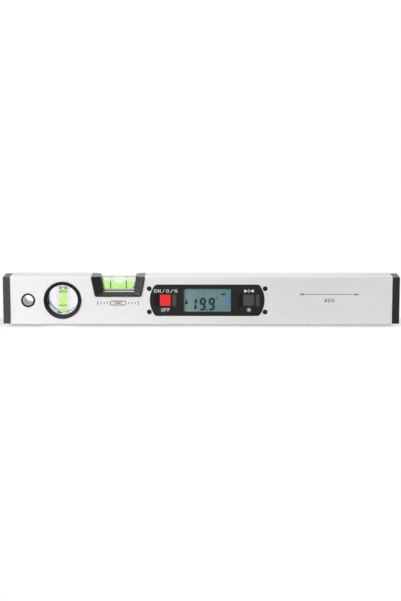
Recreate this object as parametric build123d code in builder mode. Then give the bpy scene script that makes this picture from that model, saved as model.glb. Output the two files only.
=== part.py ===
from build123d import *
import os
from math import cos, radians, sqrt, tan

# Digital spirit level: an aluminium box section with two block vials and a digital angle display.
# Lengths are millimetres. X runs along the level, the display looks towards -Y and Z is up.
# The origin is the middle of the base face.

# Aluminium box section
overall_length = 400.0
body_depth = 28.0
body_height = 48.0
side_wall = 2.2
edge_wall = 2.6
section_radius = 0.4
cavity_radius = 1.5
recess_depth = 0.3
recess_height = 32.6

# Clearances
slip_gap = 0.1
running_gap = 0.25
fill_gap = 0.05

# End caps
cap_length = 7.5
cap_reveal = 0.05
cap_top_drop = 0.4
cap_corner_radius = 0.9
cap_foot_radius = 0.4
cap_edge_radius = 0.5
cap_end_wall = 3.0
plug_length = 7.0
plug_wall = 1.8
plug_relief = 0.5
plug_rib_width = 1.6
plug_rib_margin = 6.0

# Places along the level, from the left end to the right
hanger_from_end = 25.25
grommet_to_ring = 8.7
ring_to_frame = 9.6
frame_to_display = 4.4

# Hanging hole
hanger_bore = 10.8
hanger_sleeve_wall = 0.6
grommet_diameter = 14.1
grommet_proud = 0.7
grommet_lip_seat = 0.7
grommet_neck_wall = 0.45
grommet_neck_length = 4.2
grommet_bead = 0.25
grommet_bead_length = 0.7
grommet_edge_radius = 0.3

# Frames round the vials
lip_proud = 0.8
lip_edge_radius = 0.35

# Plumb vial in its round ring
ring_diameter = 37.9
ring_overlap = 1.2
ring_rim = 2.4
ring_throat_diameter = 30.6
ring_bevel_depth = 2.2
holder_socket_wall = 1.1
holder_half_length = 7.9
holder_collar_half_length = 6.6
plumb_block_width = 12.8
plumb_block_depth = 12.0
plumb_block_height = 29.0
plumb_bore = 9.0
plumb_roof_wall = 2.1
plumb_plug_length = 1.2
plumb_cup_rise = 2.0
plumb_cup_rim = 0.5
plumb_line_spacing = 14.2
plumb_bubble_height = 3.3
plumb_bubble_dome = 1.3
plumb_bubble_shoulder = 0.8

# Top vial in its drop-in frame
frame_height = 20.3
frame_foot_width = 46.8
frame_lean = 11.6
frame_corner_radius = 2.2
frame_shoulder_radius = 1.4
frame_lip_overlap = 0.5
frame_top_drop = 0.1
frame_rim = 1.2
throat_floor_drop = 16.4
throat_floor_width = 31.4
throat_lean = 8.0
throat_corner_radius = 0.8
frame_bevel_depth = 4.0
frame_core_wall = 1.6
frame_core_depth = 18.0
vial_seat_depth = 0.8
pad_floor = 0.6
pad_rail = 1.8
pad_rise = 0.4
pad_end_gap = 0.6
top_block_depth = 14.0
top_block_drop = 1.8
top_bore = 8.8
top_roof_wall = 3.0
top_end_wall = 0.5
top_plug_length = 0.7
top_line_spacing = 16.0
top_bubble_length = 13.2
top_bubble_height = 2.8
top_bubble_offset = 1.0

# Details shared by both vials
block_chamfer = 0.4
line_width = 0.6
line_depth = 0.25
bubble_gap = 0.15

# Display panel
display_width = 115.95
display_height = 32.2
display_bulge_radius = 26.0
display_corner_radius = 4.0
display_sink = 0.4
display_edge_radius = 0.3
bezel_border = 4.4
bezel_border_height = 2.4
bezel_flange = 1.8
bezel_flange_radius = 4.0
window_width = 47.7
window_height = 23.4
window_corner_radius = 0.6
window_lip = 1.1
window_chamfer = 0.5
lens_border = 1.7
lens_thickness = 1.2
glass_border = 3.2
glass_thickness = 0.9
glass_ledge = 1.8
strip_height = 2.2
strip_end_margin = 2.0
board_gap = 0.3
board_thickness = 1.2
board_end_margin = 7.6
board_height = 33.0
board_corner_radius = 1.5
post_diameter = 5.0
post_end_margin = 4.0
post_edge_margin = 3.6

# Push buttons and their switches
button_inset = 15.9
button_width = 11.1
button_height = 11.5
button_corner_radius = 1.2
button_edge_radius = 0.7
button_proud = 0.6
button_flange_border = 1.2
button_flange_thickness = 0.8
button_travel = 0.6
well_depth = 1.2
well_floor_border = 1.2
well_slope_length = 4.2
switch_width = 6.0
switch_height = 1.8
switch_base = 0.3
plunger_diameter = 3.4

# Screws
screw_outset = 0.45
screw_edge_margin = 4.2
screw_head_diameter = 4.9
screw_shank_diameter = 2.5
screw_length = 7.5
screw_boss_diameter = 5.8
screw_slot_length = 2.8
screw_slot_width = 0.6
screw_slot_depth = 0.5
board_screw_head_diameter = 3.8
board_screw_head_height = 1.3
board_screw_shank_diameter = 2.0
board_screw_grip = 3.0

# Parts on the back of the board
sensor_width = 12.0
sensor_height = 1.8
sensor_edge_radius = 0.5
chip_width = 10.0
chip_height = 1.4
chip_chamfer = 0.3
chip_offset = 24.0

# Battery tray, cells and door at the back
cell_diameter = 10.5
cell_length = 44.5
cell_nub_diameter = 3.8
cell_nub_length = 0.9
cell_edge_radius = 0.5
cell_spacing = 10.8
contact_room = 3.2
contact_thickness = 0.4
contact_width = 6.0
contact_bend_radius = 0.5
contact_end_gap = 1.2
link_height = 4.0
tray_wall = 1.5
tray_ledge = 1.9
tray_rim = 2.0
tray_corner_radius = 2.0
tray_flange_border = 8.6
tray_flange_edge = 3.6
tray_flange_thickness = 1.8
tray_screw_margin = 3.6
tray_screw_rise = 20.0
door_thickness = 1.4
door_gap = 0.1
door_tab_width = 4.0
door_tab_thickness = 1.1
door_tab_reach = 1.5
door_tab_root = 2.9
door_tab_spacing = 12.0
door_tab_room = 0.8
door_groove_length = 9.0
door_groove_width = 0.9
door_groove_depth = 0.4
door_groove_pitch = 2.0
door_groove_count = 3
door_groove_margin = 3.2
finger_notch_width = 10.0
finger_notch_depth = 1.0

# Main planes of the level
body_length = overall_length - 2 * cap_length
left_end = -overall_length / 2
mid_z = body_height / 2
rail_y = body_depth / 2
panel_y = rail_y - recess_depth
inner_y = rail_y - side_wall
lip_y = rail_y + lip_proud
cavity_depth = body_depth - 2 * side_wall
cavity_height = body_height - 2 * edge_wall

# Hanging hole, from its bore outwards
hanger_x = left_end + hanger_from_end
bore_radius = hanger_bore / 2
tube_radius = bore_radius + hanger_sleeve_wall
neck_inner_radius = tube_radius + slip_gap
neck_radius = neck_inner_radius + grommet_neck_wall
hanger_hole_radius = neck_radius + slip_gap
grommet_radius = grommet_diameter / 2
grommet_seat_y = panel_y - grommet_lip_seat
grommet_end_y = panel_y - grommet_neck_length

# Plumb ring, holder and vial
ring_radius = ring_diameter / 2
plumb_x = hanger_x + grommet_radius + grommet_to_ring + ring_radius
ring_sleeve_radius = ring_radius - ring_overlap
ring_hole_radius = ring_sleeve_radius + slip_gap
ring_throat_radius = ring_throat_diameter / 2
ring_mouth_radius = ring_radius - ring_rim
holder_socket_radius = ring_sleeve_radius - holder_socket_wall
holder_seat_y = holder_half_length + slip_gap
sleeve_end_y = holder_collar_half_length + slip_gap
plumb_bore_radius = plumb_bore / 2
plumb_block_top = mid_z + plumb_block_height / 2
plumb_block_foot = mid_z - plumb_block_height / 2
plumb_roof_z = plumb_block_top - plumb_roof_wall
plumb_floor_z = plumb_block_foot + plumb_plug_length
plumb_bubble_top = plumb_roof_z - bubble_gap
plumb_bubble_side = plumb_bubble_top - plumb_bubble_height + plumb_bubble_dome
plumb_line_places = [(plumb_x, 0, mid_z + side * plumb_line_spacing / 2) for side in (-1, 1)]

# Top vial frame, block and bubble
frame_foot_z = body_height - frame_height
frame_top_z = body_height - frame_top_drop
frame_slope = tan(radians(frame_lean))
frame_top_half = frame_foot_width / 2 + frame_slope * frame_height
above_top_z = body_height + edge_wall
top_vial_x = plumb_x + ring_radius + ring_to_frame + frame_top_half
throat_floor_z = body_height - throat_floor_drop
throat_slope = tan(radians(throat_lean))
throat_y = lip_y - frame_bevel_depth
pad_length = throat_floor_width - 2 * pad_end_gap
pad_foot_z = throat_floor_z - vial_seat_depth
pad_top_z = throat_floor_z + pad_rise
pad_channel = top_block_depth + 2 * slip_gap
pad_depth = pad_channel + 2 * pad_rail
top_block_foot = pad_foot_z + pad_floor
top_block_top = body_height - top_block_drop
top_bore_radius = top_bore / 2
top_roof_z = top_block_top - top_roof_wall
top_axis_z = top_roof_z - top_bore_radius
top_bore_foot = top_axis_z - top_bore_radius
top_end_half = throat_floor_width / 2 + throat_slope * (top_bore_foot - throat_floor_z) - slip_gap
top_block_right = top_vial_x + top_end_half
top_chamber_left = top_vial_x - top_end_half + top_end_wall
top_chamber_right = top_block_right - top_plug_length
top_bubble_x = top_vial_x + top_bubble_offset
top_line_left = top_vial_x - top_line_spacing / 2
top_line_right = top_vial_x + top_line_spacing / 2

# Display, from its face back to the lens and glass
display_x = top_vial_x + frame_top_half + frame_to_display + display_width / 2
bezel_face_y = -panel_y + display_sink
bezel_back_y = -inner_y + bezel_flange
bezel_width = display_width + 2 * bezel_border
bezel_height = display_height + 2 * bezel_border_height
lens_front_y = bezel_face_y + window_lip
lens_back_y = lens_front_y + lens_thickness
glass_front_y = lens_back_y + slip_gap
glass_mid_y = glass_front_y + glass_thickness
glass_back_y = glass_mid_y + glass_thickness
glass_width = window_width + 2 * glass_border
glass_height = window_height + 2 * glass_border

# Buttons, switches and circuit board
power_x = display_x - display_width / 2 + button_inset
hold_x = display_x + display_width / 2 - button_inset
button_face_y = bezel_face_y - button_proud
well_floor_y = bezel_face_y + well_depth
well_floor_half = button_width / 2 + well_floor_border
well_height = button_height + 2 * running_gap
flange_front_y = bezel_back_y + running_gap
flange_back_y = flange_front_y + button_flange_thickness
switch_top_y = flange_back_y + button_travel + slip_gap
board_front_y = switch_top_y + switch_height
board_back_y = board_front_y + board_thickness
switch_bore_end_y = board_front_y - switch_base
plunger_end_y = switch_bore_end_y - button_travel - slip_gap
light_back_y = board_front_y - board_gap
light_height = glass_height - 2 * strip_height - 2 * board_gap
strip_span = glass_height - strip_height
board_width = display_width - 2 * board_end_margin
post_span_x = board_width - 2 * post_end_margin
post_span_z = board_height - 2 * post_edge_margin

# Screws through the two faces
screw_span_x = display_width + 2 * screw_outset
screw_span_z = display_height - 2 * screw_edge_margin
screw_head_height = (screw_head_diameter - screw_shank_diameter) / 2
screw_hole_radius = screw_shank_diameter / 2 + slip_gap
boss_length = screw_length - (panel_y + bezel_back_y) + slip_gap
tray_boss_length = screw_length - (panel_y - inner_y) - tray_flange_thickness + slip_gap
front_screw_plane = Plane((display_x, -panel_y, mid_z), x_dir=(1, 0, 0), z_dir=(0, -1, 0))
back_screw_plane = Plane((display_x, panel_y, mid_z), x_dir=(-1, 0, 0), z_dir=(0, 1, 0))

# Battery tray and door, from the board back to the rear face
tray_face_y = panel_y - display_sink
door_face_y = tray_face_y - door_gap
door_under_y = door_face_y - door_thickness
ledge_y = door_under_y - door_gap
tray_spare = door_under_y - board_back_y - sensor_height - tray_wall - cell_diameter
tray_floor_front_y = board_back_y + sensor_height + tray_spare / 2
tray_floor_y = tray_floor_front_y + tray_wall
tray_flange_front_y = inner_y - tray_flange_thickness
cell_y = tray_floor_y + slip_gap + cell_diameter / 2
tray_inner_length = cell_length + 2 * contact_room
tray_inner_height = cell_spacing + cell_diameter + 2 * running_gap
tray_left_x = display_x - tray_inner_length / 2
tray_right_x = display_x + tray_inner_length / 2
door_length = tray_inner_length + 2 * tray_ledge
door_height = tray_inner_height + tray_ledge
rebate_length = door_length + 2 * running_gap
rebate_height = door_height + 2 * running_gap
rim_length = rebate_length + 2 * tray_rim
rim_height = rebate_height + 2 * tray_rim
tray_flange_length = rim_length + 2 * tray_flange_border
tray_screw_span_x = tray_flange_length - 2 * tray_screw_margin
hinge_x = display_x - door_length / 2
latch_x = display_x + door_length / 2
tab_low_y = door_under_y - door_tab_thickness
upper_cell_z = mid_z + cell_spacing / 2
lower_cell_z = mid_z - cell_spacing / 2


def at_y(y):
    """Give the upright plane that crosses the level at depth y and faces the viewer."""
    return Plane.XZ.offset(-y)


def frame_half(z, inset):
    """Give half the top vial frame's width at height z, set in from its sloping sides."""
    return frame_foot_width / 2 + frame_slope * (z - frame_foot_z) - inset / cos(radians(frame_lean))


def throat_half(z):
    """Give half the width of the opening round the top vial at height z."""
    return throat_floor_width / 2 + throat_slope * (z - throat_floor_z)


def trapezoid(foot_half, foot_z, top_half, top_z, foot_radius=0, top_radius=0):
    """Draw an upright trapezoid on the top vial's centre, with its lower and upper corners rounded."""
    with BuildLine() as outline:
        FilletPolyline(
            (top_vial_x - top_half, top_z),
            (top_vial_x - foot_half, foot_z),
            (top_vial_x + foot_half, foot_z),
            (top_vial_x + top_half, top_z),
            radius=(top_radius, foot_radius, foot_radius, top_radius),
            close=True,
        )
    make_face(outline.edges())


def frame_outline(inset, top_z, top_radius=0):
    """Draw the top vial frame's outline, set in along its sides and foot."""
    foot_z = frame_foot_z + inset
    corner_radius = frame_corner_radius - inset / 2
    trapezoid(frame_half(foot_z, inset), foot_z, frame_half(top_z, inset), top_z, corner_radius, top_radius)


def throat_outline(top_z):
    """Draw the opening in which the top vial stands."""
    trapezoid(throat_half(throat_floor_z), throat_floor_z, throat_half(top_z), top_z, throat_corner_radius)


def display_outline(sketch, inset):
    """Draw the display's outline with straight long edges, bulged ends and rounded corners."""
    half_width = display_width / 2 - inset
    half_height = display_height / 2 - inset
    bulge_radius = display_bulge_radius - inset
    shoulder = half_width - bulge_radius + sqrt(bulge_radius**2 - half_height**2)
    left_x = display_x - shoulder
    right_x = display_x + shoulder
    top_z = mid_z + half_height
    foot_z = mid_z - half_height
    with BuildLine() as outline:
        Line((left_x, top_z), (right_x, top_z))
        ThreePointArc((right_x, top_z), (display_x + half_width, mid_z), (right_x, foot_z))
        Line((right_x, foot_z), (left_x, foot_z))
        ThreePointArc((left_x, foot_z), (display_x - half_width, mid_z), (left_x, top_z))
    make_face(outline.edges())
    fillet(sketch.vertices(), radius=display_corner_radius)


def plate(x, front_y, back_y, width, height, corner_radius, mode=Mode.ADD):
    """Add or cut an upright plate with rounded corners, centred on the level's mid height."""
    with BuildSketch(at_y(back_y)) as profile:
        with Locations((x, mid_z)):
            RectangleRounded(width, height, corner_radius)
    extrude(profile.sketch, amount=back_y - front_y, mode=mode)


def opening(x, front_y, back_y, width, height, corner_radius):
    """Cut an upright opening with rounded corners, centred on the level's mid height."""
    plate(x, front_y, back_y, width, height, corner_radius, mode=Mode.SUBTRACT)


def upright_discs(places, radius, front_y, back_y, mode=Mode.ADD):
    """Add or cut round bars that run front to back at the given x and z places."""
    with BuildSketch(at_y(back_y)) as profile:
        with Locations(*places):
            Circle(radius)
    extrude(profile.sketch, amount=back_y - front_y, mode=mode)


def four_places(span_x, span_z):
    """List the x and z of four points in a rectangle round the display's centre."""
    left_x = display_x - span_x / 2
    right_x = display_x + span_x / 2
    low_z = mid_z - span_z / 2
    high_z = mid_z + span_z / 2
    return [(left_x, low_z), (left_x, high_z), (right_x, low_z), (right_x, high_z)]


def screw_holes(plane, span_x, span_z):
    """Cut four countersunk holes, in from the plane, for the casing screws."""
    with Locations(plane):
        with GridLocations(span_x, span_z, 2, 2):
            CounterSinkHole(
                radius=screw_hole_radius,
                counter_sink_radius=screw_head_diameter / 2 + slip_gap,
                depth=body_depth / 2,
                counter_sink_angle=90,
            )


def casing_screws(plane, span_x, span_z):
    """Add four countersunk screws with crossed slots, their heads level with the plane."""
    sunk = (Align.CENTER, Align.CENTER, Align.MAX)
    with Locations(plane):
        with GridLocations(span_x, span_z, 2, 2):
            Cone(screw_shank_diameter / 2, screw_head_diameter / 2, screw_head_height, align=sunk)
            Cylinder(screw_shank_diameter / 2, screw_length, align=sunk)
            Box(screw_slot_length, screw_slot_width, screw_slot_depth, align=sunk, mode=Mode.SUBTRACT)
            Box(screw_slot_width, screw_slot_length, screw_slot_depth, align=sunk, mode=Mode.SUBTRACT)


def button_shape(x):
    """Add a push button: a cap through the panel and a flange behind that holds it in."""
    flange_width = button_width + 2 * button_flange_border
    flange_height = button_height + 2 * button_flange_border
    plate(x, button_face_y, flange_front_y, button_width, button_height, button_corner_radius)
    plate(x, flange_front_y, flange_back_y, flange_width, flange_height, button_corner_radius)


def switch_shape(x):
    """Add a push switch: a square body on the board with a round hole for its plunger."""
    plate(x, switch_top_y, board_front_y, switch_width, switch_width, button_corner_radius)
    hole_radius = plunger_diameter / 2 + running_gap
    upright_discs([(x, mid_z)], hole_radius, switch_top_y, switch_bore_end_y, mode=Mode.SUBTRACT)


def bar_along(x, length, radius, y, z, mode=Mode.ADD):
    """Add or cut a round bar that runs along the level from x."""
    with BuildSketch(Plane.YZ.offset(x)) as profile:
        with Locations((y, z)):
            Circle(radius)
    extrude(profile.sketch, amount=length, mode=mode)


def cell_shape(z, nub_side):
    """Add a round cell lying along the level, with its nub on the given side."""
    can_length = cell_length - cell_nub_length
    left_x = display_x - cell_length / 2
    nub_left = nub_side < 0
    can_x = left_x + cell_nub_length if nub_left else left_x
    nub_x = left_x if nub_left else left_x + can_length
    bar_along(can_x, can_length, cell_diameter / 2, cell_y, z)
    bar_along(nub_x, cell_nub_length, cell_nub_diameter / 2, cell_y, z)


def can_rims(cell):
    """Pick the two round edges at the ends of a cell's can."""
    return cell.edges().filter_by(GeomType.CIRCLE).filter_by(lambda edge: edge.radius > cell_nub_diameter)


def leaf_contact(wall_x, towards, z, foot_y):
    """Add one bent strip: up the tray's end wall from foot_y, over the top and bowed towards the cell."""
    strip_x = wall_x + towards * contact_thickness
    tip_x = wall_x + towards * (contact_room - contact_thickness)
    top_y = cell_y + cell_diameter / 2 - contact_end_gap
    with BuildSketch(Plane.XY.offset(z - contact_width / 2)) as profile:
        with BuildLine():
            FilletPolyline(
                (strip_x, foot_y),
                (strip_x, top_y),
                (tip_x, cell_y),
                (strip_x + towards * 2 * contact_thickness, tray_floor_y + contact_end_gap),
                radius=contact_bend_radius,
            )
        trace(line_width=contact_thickness)
    extrude(profile.sketch, amount=contact_width)


# Box section: rails above and below a shallow panel on both faces, round one closed cavity
with BuildPart() as level_body:
    with BuildSketch(Plane.YZ):
        with Locations((0, mid_z)):
            RectangleRounded(body_depth, body_height, section_radius)
            with GridLocations(body_depth, 0, 2, 1):
                Rectangle(2 * recess_depth, recess_height, mode=Mode.SUBTRACT)
            RectangleRounded(cavity_depth, cavity_height, cavity_radius, mode=Mode.SUBTRACT)
    extrude(amount=body_length / 2, both=True)
    # Hanging hole, plumb hole and notch for the top vial, through both faces
    with BuildSketch(Plane.XZ):
        with Locations((hanger_x, mid_z)):
            Circle(hanger_hole_radius)
        with Locations((plumb_x, mid_z)):
            Circle(ring_hole_radius)
        frame_outline(frame_lip_overlap, above_top_z)
    extrude(amount=body_depth, both=True, mode=Mode.SUBTRACT)
    # Openings for the display in the front and for the battery tray in the back
    with BuildSketch(Plane.XZ) as display_opening:
        display_outline(display_opening, 0)
    extrude(amount=body_depth, mode=Mode.SUBTRACT)
    tray_opening_length = rim_length + 2 * slip_gap
    tray_opening_height = rim_height + 2 * slip_gap
    opening(display_x, 0, body_depth, tray_opening_length, tray_opening_height, tray_corner_radius)
    screw_holes(front_screw_plane, screw_span_x, screw_span_z)
    screw_holes(back_screw_plane, tray_screw_span_x, tray_screw_rise)

# End cap: a block, rounded above and tight below, with a hollow ribbed plug that pushes into the cavity
with BuildPart() as left_end_cap:
    with BuildSketch(Plane.YZ.offset(left_end)) as cap_outline:
        with Locations((0, cap_reveal)):
            cap_height = body_height - cap_reveal - cap_top_drop
            Rectangle(body_depth - 2 * cap_reveal, cap_height, align=(Align.CENTER, Align.MIN))
        fillet(cap_outline.vertices().group_by(Axis.Y)[-1], radius=cap_corner_radius)
        fillet(cap_outline.vertices().group_by(Axis.Y)[0], radius=cap_foot_radius)
    extrude(amount=cap_length)
    fillet(left_end_cap.faces().sort_by(Axis.X)[0].edges(), radius=cap_edge_radius)
    plug_depth = cavity_depth - 2 * plug_relief
    plug_height = cavity_height - 2 * plug_relief
    rib_rise = 2 * (plug_relief - slip_gap)
    with BuildSketch(Plane.YZ.offset(left_end + cap_length)):
        with Locations((0, mid_z)):
            RectangleRounded(plug_depth, plug_height, cavity_radius)
            with GridLocations(plug_depth, plug_height - 2 * plug_rib_margin, 2, 2):
                Rectangle(rib_rise, plug_rib_width)
            with GridLocations(plug_depth - 2 * plug_rib_margin, plug_height, 2, 2):
                Rectangle(plug_rib_width, rib_rise)
    extrude(amount=plug_length)
    with BuildSketch(Plane.YZ.offset(left_end + cap_end_wall)):
        with Locations((0, mid_z)):
            RectangleRounded(plug_depth - 2 * plug_wall, plug_height - 2 * plug_wall, cavity_radius)
    extrude(amount=cap_length + plug_length, mode=Mode.SUBTRACT)

with BuildPart() as right_end_cap:
    mirror(left_end_cap.part, about=Plane.YZ)

# Hanging hole: a tube across the level between two snap-in grommets
with BuildPart() as hanger_sleeve:
    with BuildSketch(Plane.XZ):
        with Locations((hanger_x, mid_z)):
            Circle(tube_radius)
            Circle(bore_radius, mode=Mode.SUBTRACT)
    extrude(amount=grommet_seat_y - fill_gap, both=True)

with BuildPart() as hanger_grommet_front:
    with BuildSketch(Plane((hanger_x, 0, mid_z))):
        with BuildLine():
            Polyline(
                (grommet_radius, -panel_y),
                (grommet_radius, -panel_y - grommet_proud),
                (bore_radius, -panel_y - grommet_proud),
                (bore_radius, -grommet_seat_y),
                (neck_inner_radius, -grommet_seat_y),
                (neck_inner_radius, -grommet_end_y),
                (neck_radius, -grommet_end_y),
                (neck_radius + grommet_bead, -inner_y + grommet_bead_length),
                (neck_radius, -inner_y + slip_gap),
                (neck_radius, -panel_y),
                close=True,
            )
        make_face()
    revolve(axis=Axis((hanger_x, 0, mid_z), (0, 1, 0)))
    fillet(hanger_grommet_front.faces().sort_by(Axis.Y)[0].edges(), radius=grommet_edge_radius)

with BuildPart() as hanger_grommet_rear:
    mirror(hanger_grommet_front.part, about=Plane.XZ)

# Plumb ring: a bevelled bezel from each face, closed round the vial's holder
with BuildPart() as plumb_bezel_front:
    with BuildSketch(Plane((plumb_x, 0, mid_z))):
        with BuildLine():
            Polyline(
                (ring_radius, -rail_y),
                (ring_radius, -lip_y),
                (ring_mouth_radius, -lip_y),
                (ring_throat_radius, -lip_y + ring_bevel_depth),
                (ring_throat_radius, -holder_seat_y),
                (holder_socket_radius, -holder_seat_y),
                (holder_socket_radius, -sleeve_end_y),
                (ring_sleeve_radius, -sleeve_end_y),
                (ring_sleeve_radius, -rail_y),
                close=True,
            )
        make_face()
    revolve(axis=Axis((plumb_x, 0, mid_z), (0, 1, 0)))
    fillet(plumb_bezel_front.faces().sort_by(Axis.Y)[0].edges(), radius=lip_edge_radius)

with BuildPart() as plumb_bezel_rear:
    mirror(plumb_bezel_front.part, about=Plane.XZ)

with BuildPart() as plumb_holder:
    plumb_place = [(plumb_x, mid_z)]
    upright_discs(plumb_place, holder_socket_radius - slip_gap, -holder_half_length, holder_half_length)
    upright_discs(plumb_place, ring_sleeve_radius, -holder_collar_half_length, holder_collar_half_length)
    upright_discs(plumb_place, ring_throat_radius, -rail_y, rail_y, mode=Mode.SUBTRACT)
    with Locations((plumb_x, 0, mid_z)):
        Box(
            plumb_block_width + 2 * slip_gap,
            plumb_block_depth + 2 * slip_gap,
            plumb_block_height + 2 * slip_gap,
            mode=Mode.SUBTRACT,
        )

# Plumb vial: an acrylic block bored from below, with its lines, cup-shaped plug, bubble and liquid
with BuildPart() as plumb_vial_block:
    with Locations((plumb_x, 0, mid_z)):
        Box(plumb_block_width, plumb_block_depth, plumb_block_height)
    chamfer(plumb_vial_block.edges().filter_by(Axis.Z), length=block_chamfer)
    with BuildSketch(Plane((plumb_x, 0, plumb_block_foot))):
        Circle(plumb_bore_radius)
    extrude(amount=plumb_roof_z - plumb_block_foot, mode=Mode.SUBTRACT)
    with Locations(*plumb_line_places):
        Cylinder(plumb_bore_radius + line_depth, line_width, mode=Mode.SUBTRACT)

with BuildPart() as plumb_vial_lines:
    with Locations(*plumb_line_places):
        Cylinder(plumb_bore_radius + line_depth - fill_gap, line_width - 2 * fill_gap)
        Cylinder(plumb_bore_radius, line_width, mode=Mode.SUBTRACT)

with BuildPart() as plumb_vial_plug:
    plug_radius = plumb_bore_radius - fill_gap
    cup_radius = plug_radius - plumb_cup_rim
    cup_floor = plumb_floor_z - fill_gap
    cup_top = cup_floor + plumb_cup_rise
    with BuildSketch(Plane((plumb_x, 0, 0), x_dir=(1, 0, 0), z_dir=(0, -1, 0))):
        with BuildLine():
            Polyline(
                (cup_radius, cup_top),
                (plug_radius, cup_top),
                (plug_radius, plumb_block_foot),
                (0, plumb_block_foot),
                (0, cup_floor),
            )
            EllipticalCenterArc((0, cup_top), cup_radius, plumb_cup_rise, start_angle=270)
        make_face()
    revolve(axis=Axis((plumb_x, 0, mid_z), (0, 0, 1)))

with BuildPart() as plumb_bubble:
    bubble_radius = plumb_bore_radius - bubble_gap
    shoulder_radius = bubble_radius - plumb_bubble_shoulder
    shoulder_z = plumb_bubble_top - plumb_bubble_shoulder
    with BuildSketch(Plane((plumb_x, 0, 0), x_dir=(1, 0, 0), z_dir=(0, -1, 0))):
        with BuildLine():
            Line((0, plumb_bubble_side - plumb_bubble_dome), (0, plumb_bubble_top))
            Line((0, plumb_bubble_top), (shoulder_radius, plumb_bubble_top))
            RadiusArc(
                (shoulder_radius, plumb_bubble_top),
                (bubble_radius, shoulder_z),
                plumb_bubble_shoulder,
            )
            Line((bubble_radius, shoulder_z), (bubble_radius, plumb_bubble_side))
            EllipticalCenterArc((0, plumb_bubble_side), bubble_radius, plumb_bubble_dome, start_angle=270)
        make_face()
    revolve(axis=Axis((plumb_x, 0, mid_z), (0, 0, 1)))

with BuildPart() as plumb_vial_liquid:
    liquid_radius = plumb_bore_radius - fill_gap
    liquid_top = plumb_bubble_side - bubble_gap
    rim_z = plumb_floor_z + plumb_cup_rise
    with BuildSketch(Plane((plumb_x, 0, 0), x_dir=(1, 0, 0), z_dir=(0, -1, 0))):
        with BuildLine():
            Line((0, liquid_top - plumb_bubble_dome), (0, plumb_floor_z))
            EllipticalCenterArc((0, rim_z), cup_radius, plumb_cup_rise, start_angle=270)
            Polyline((cup_radius, rim_z), (liquid_radius, rim_z), (liquid_radius, liquid_top))
            EllipticalCenterArc((0, liquid_top), liquid_radius, plumb_bubble_dome, start_angle=270)
        make_face()
    revolve(axis=Axis((plumb_x, 0, mid_z), (0, 0, 1)))

# Top vial frame: drops into the notch, with a lip and a broad bevel on both faces
with BuildPart() as top_vial_frame:
    with BuildSketch(Plane.XZ):
        frame_outline(frame_lip_overlap + slip_gap, frame_top_z)
    extrude(amount=rail_y)
    with BuildSketch(at_y(-rail_y)):
        frame_outline(0, frame_top_z, frame_shoulder_radius)
    extrude(amount=lip_proud)
    fillet(top_vial_frame.faces().sort_by(Axis.Y)[0].edges(), radius=lip_edge_radius)
    with BuildSketch(Plane.XZ):
        throat_outline(above_top_z)
    extrude(amount=body_depth, mode=Mode.SUBTRACT)
    with BuildSketch(at_y(-lip_y)):
        frame_outline(frame_rim, above_top_z)
    with BuildSketch(at_y(-throat_y)):
        throat_outline(above_top_z)
    loft(ruled=True, mode=Mode.SUBTRACT)
    # Seat for the vial's pad, sunk in the floor and square into the rounded corners above it
    seat_top_z = throat_floor_z + throat_corner_radius
    with BuildSketch(Plane((top_vial_x, 0, seat_top_z))):
        Rectangle(throat_floor_width, pad_depth + 2 * slip_gap)
    extrude(amount=-throat_corner_radius - vial_seat_depth, mode=Mode.SUBTRACT)
    # Cores, open below, that keep the two side blocks to an even wall
    core_inset = frame_lip_overlap + slip_gap + frame_core_wall
    core_top_z = frame_top_z - frame_core_wall
    with BuildSketch(Plane.XZ):
        for side in (-1, 1):
            with BuildLine():
                Polyline(
                    (top_vial_x + side * (throat_half(frame_foot_z) + frame_core_wall), frame_foot_z),
                    (top_vial_x + side * (throat_half(core_top_z) + frame_core_wall), core_top_z),
                    (top_vial_x + side * frame_half(core_top_z, core_inset), core_top_z),
                    (top_vial_x + side * frame_half(frame_foot_z, core_inset), frame_foot_z),
                    close=True,
                )
            make_face()
    extrude(amount=frame_core_depth / 2, mode=Mode.SUBTRACT)
    mirror(about=Plane.XZ)

# Pad under the top vial: a shallow channel that fills the seat and rises along the block's long edges
with BuildPart() as top_vial_pad:
    on_foot = (Align.CENTER, Align.CENTER, Align.MIN)
    with Locations((top_vial_x, 0, pad_foot_z)):
        Box(pad_length, pad_depth, pad_top_z - pad_foot_z, align=on_foot)
    with Locations((top_vial_x, 0, top_block_foot)):
        Box(pad_length, pad_channel, pad_top_z - top_block_foot, align=on_foot, mode=Mode.SUBTRACT)

# Top vial: an acrylic block whose ends lean with the opening, bored from the right, with its lines,
# plug, bubble and liquid
with BuildPart() as top_vial_block:
    with BuildSketch(Plane.XZ):
        end_gap = slip_gap / cos(radians(throat_lean))
        foot_half = throat_half(top_block_foot) - end_gap
        trapezoid(foot_half, top_block_foot, throat_half(top_block_top) - end_gap, top_block_top)
    extrude(amount=top_block_depth / 2, both=True)
    chamfer(top_vial_block.edges().filter_by(Axis.X), length=block_chamfer)
    bore_length = top_vial_x + throat_half(top_block_top) - top_chamber_left
    bar_along(top_chamber_left, bore_length, top_bore_radius, 0, top_axis_z, mode=Mode.SUBTRACT)
    for line_x in (top_line_left, top_line_right):
        groove_x = line_x - line_width / 2
        bar_along(groove_x, line_width, top_bore_radius + line_depth, 0, top_axis_z, mode=Mode.SUBTRACT)

with BuildPart() as top_vial_lines:
    for line_x in (top_line_left, top_line_right):
        ring_x = line_x - line_width / 2 + fill_gap
        ring_width = line_width - 2 * fill_gap
        bar_along(ring_x, ring_width, top_bore_radius + line_depth - fill_gap, 0, top_axis_z)
        bar_along(ring_x, ring_width, top_bore_radius, 0, top_axis_z, mode=Mode.SUBTRACT)

with BuildPart() as top_vial_plug:
    plug_x = top_chamber_right + fill_gap
    bar_along(plug_x, top_block_right - plug_x, top_bore_radius - fill_gap, 0, top_axis_z)

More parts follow.
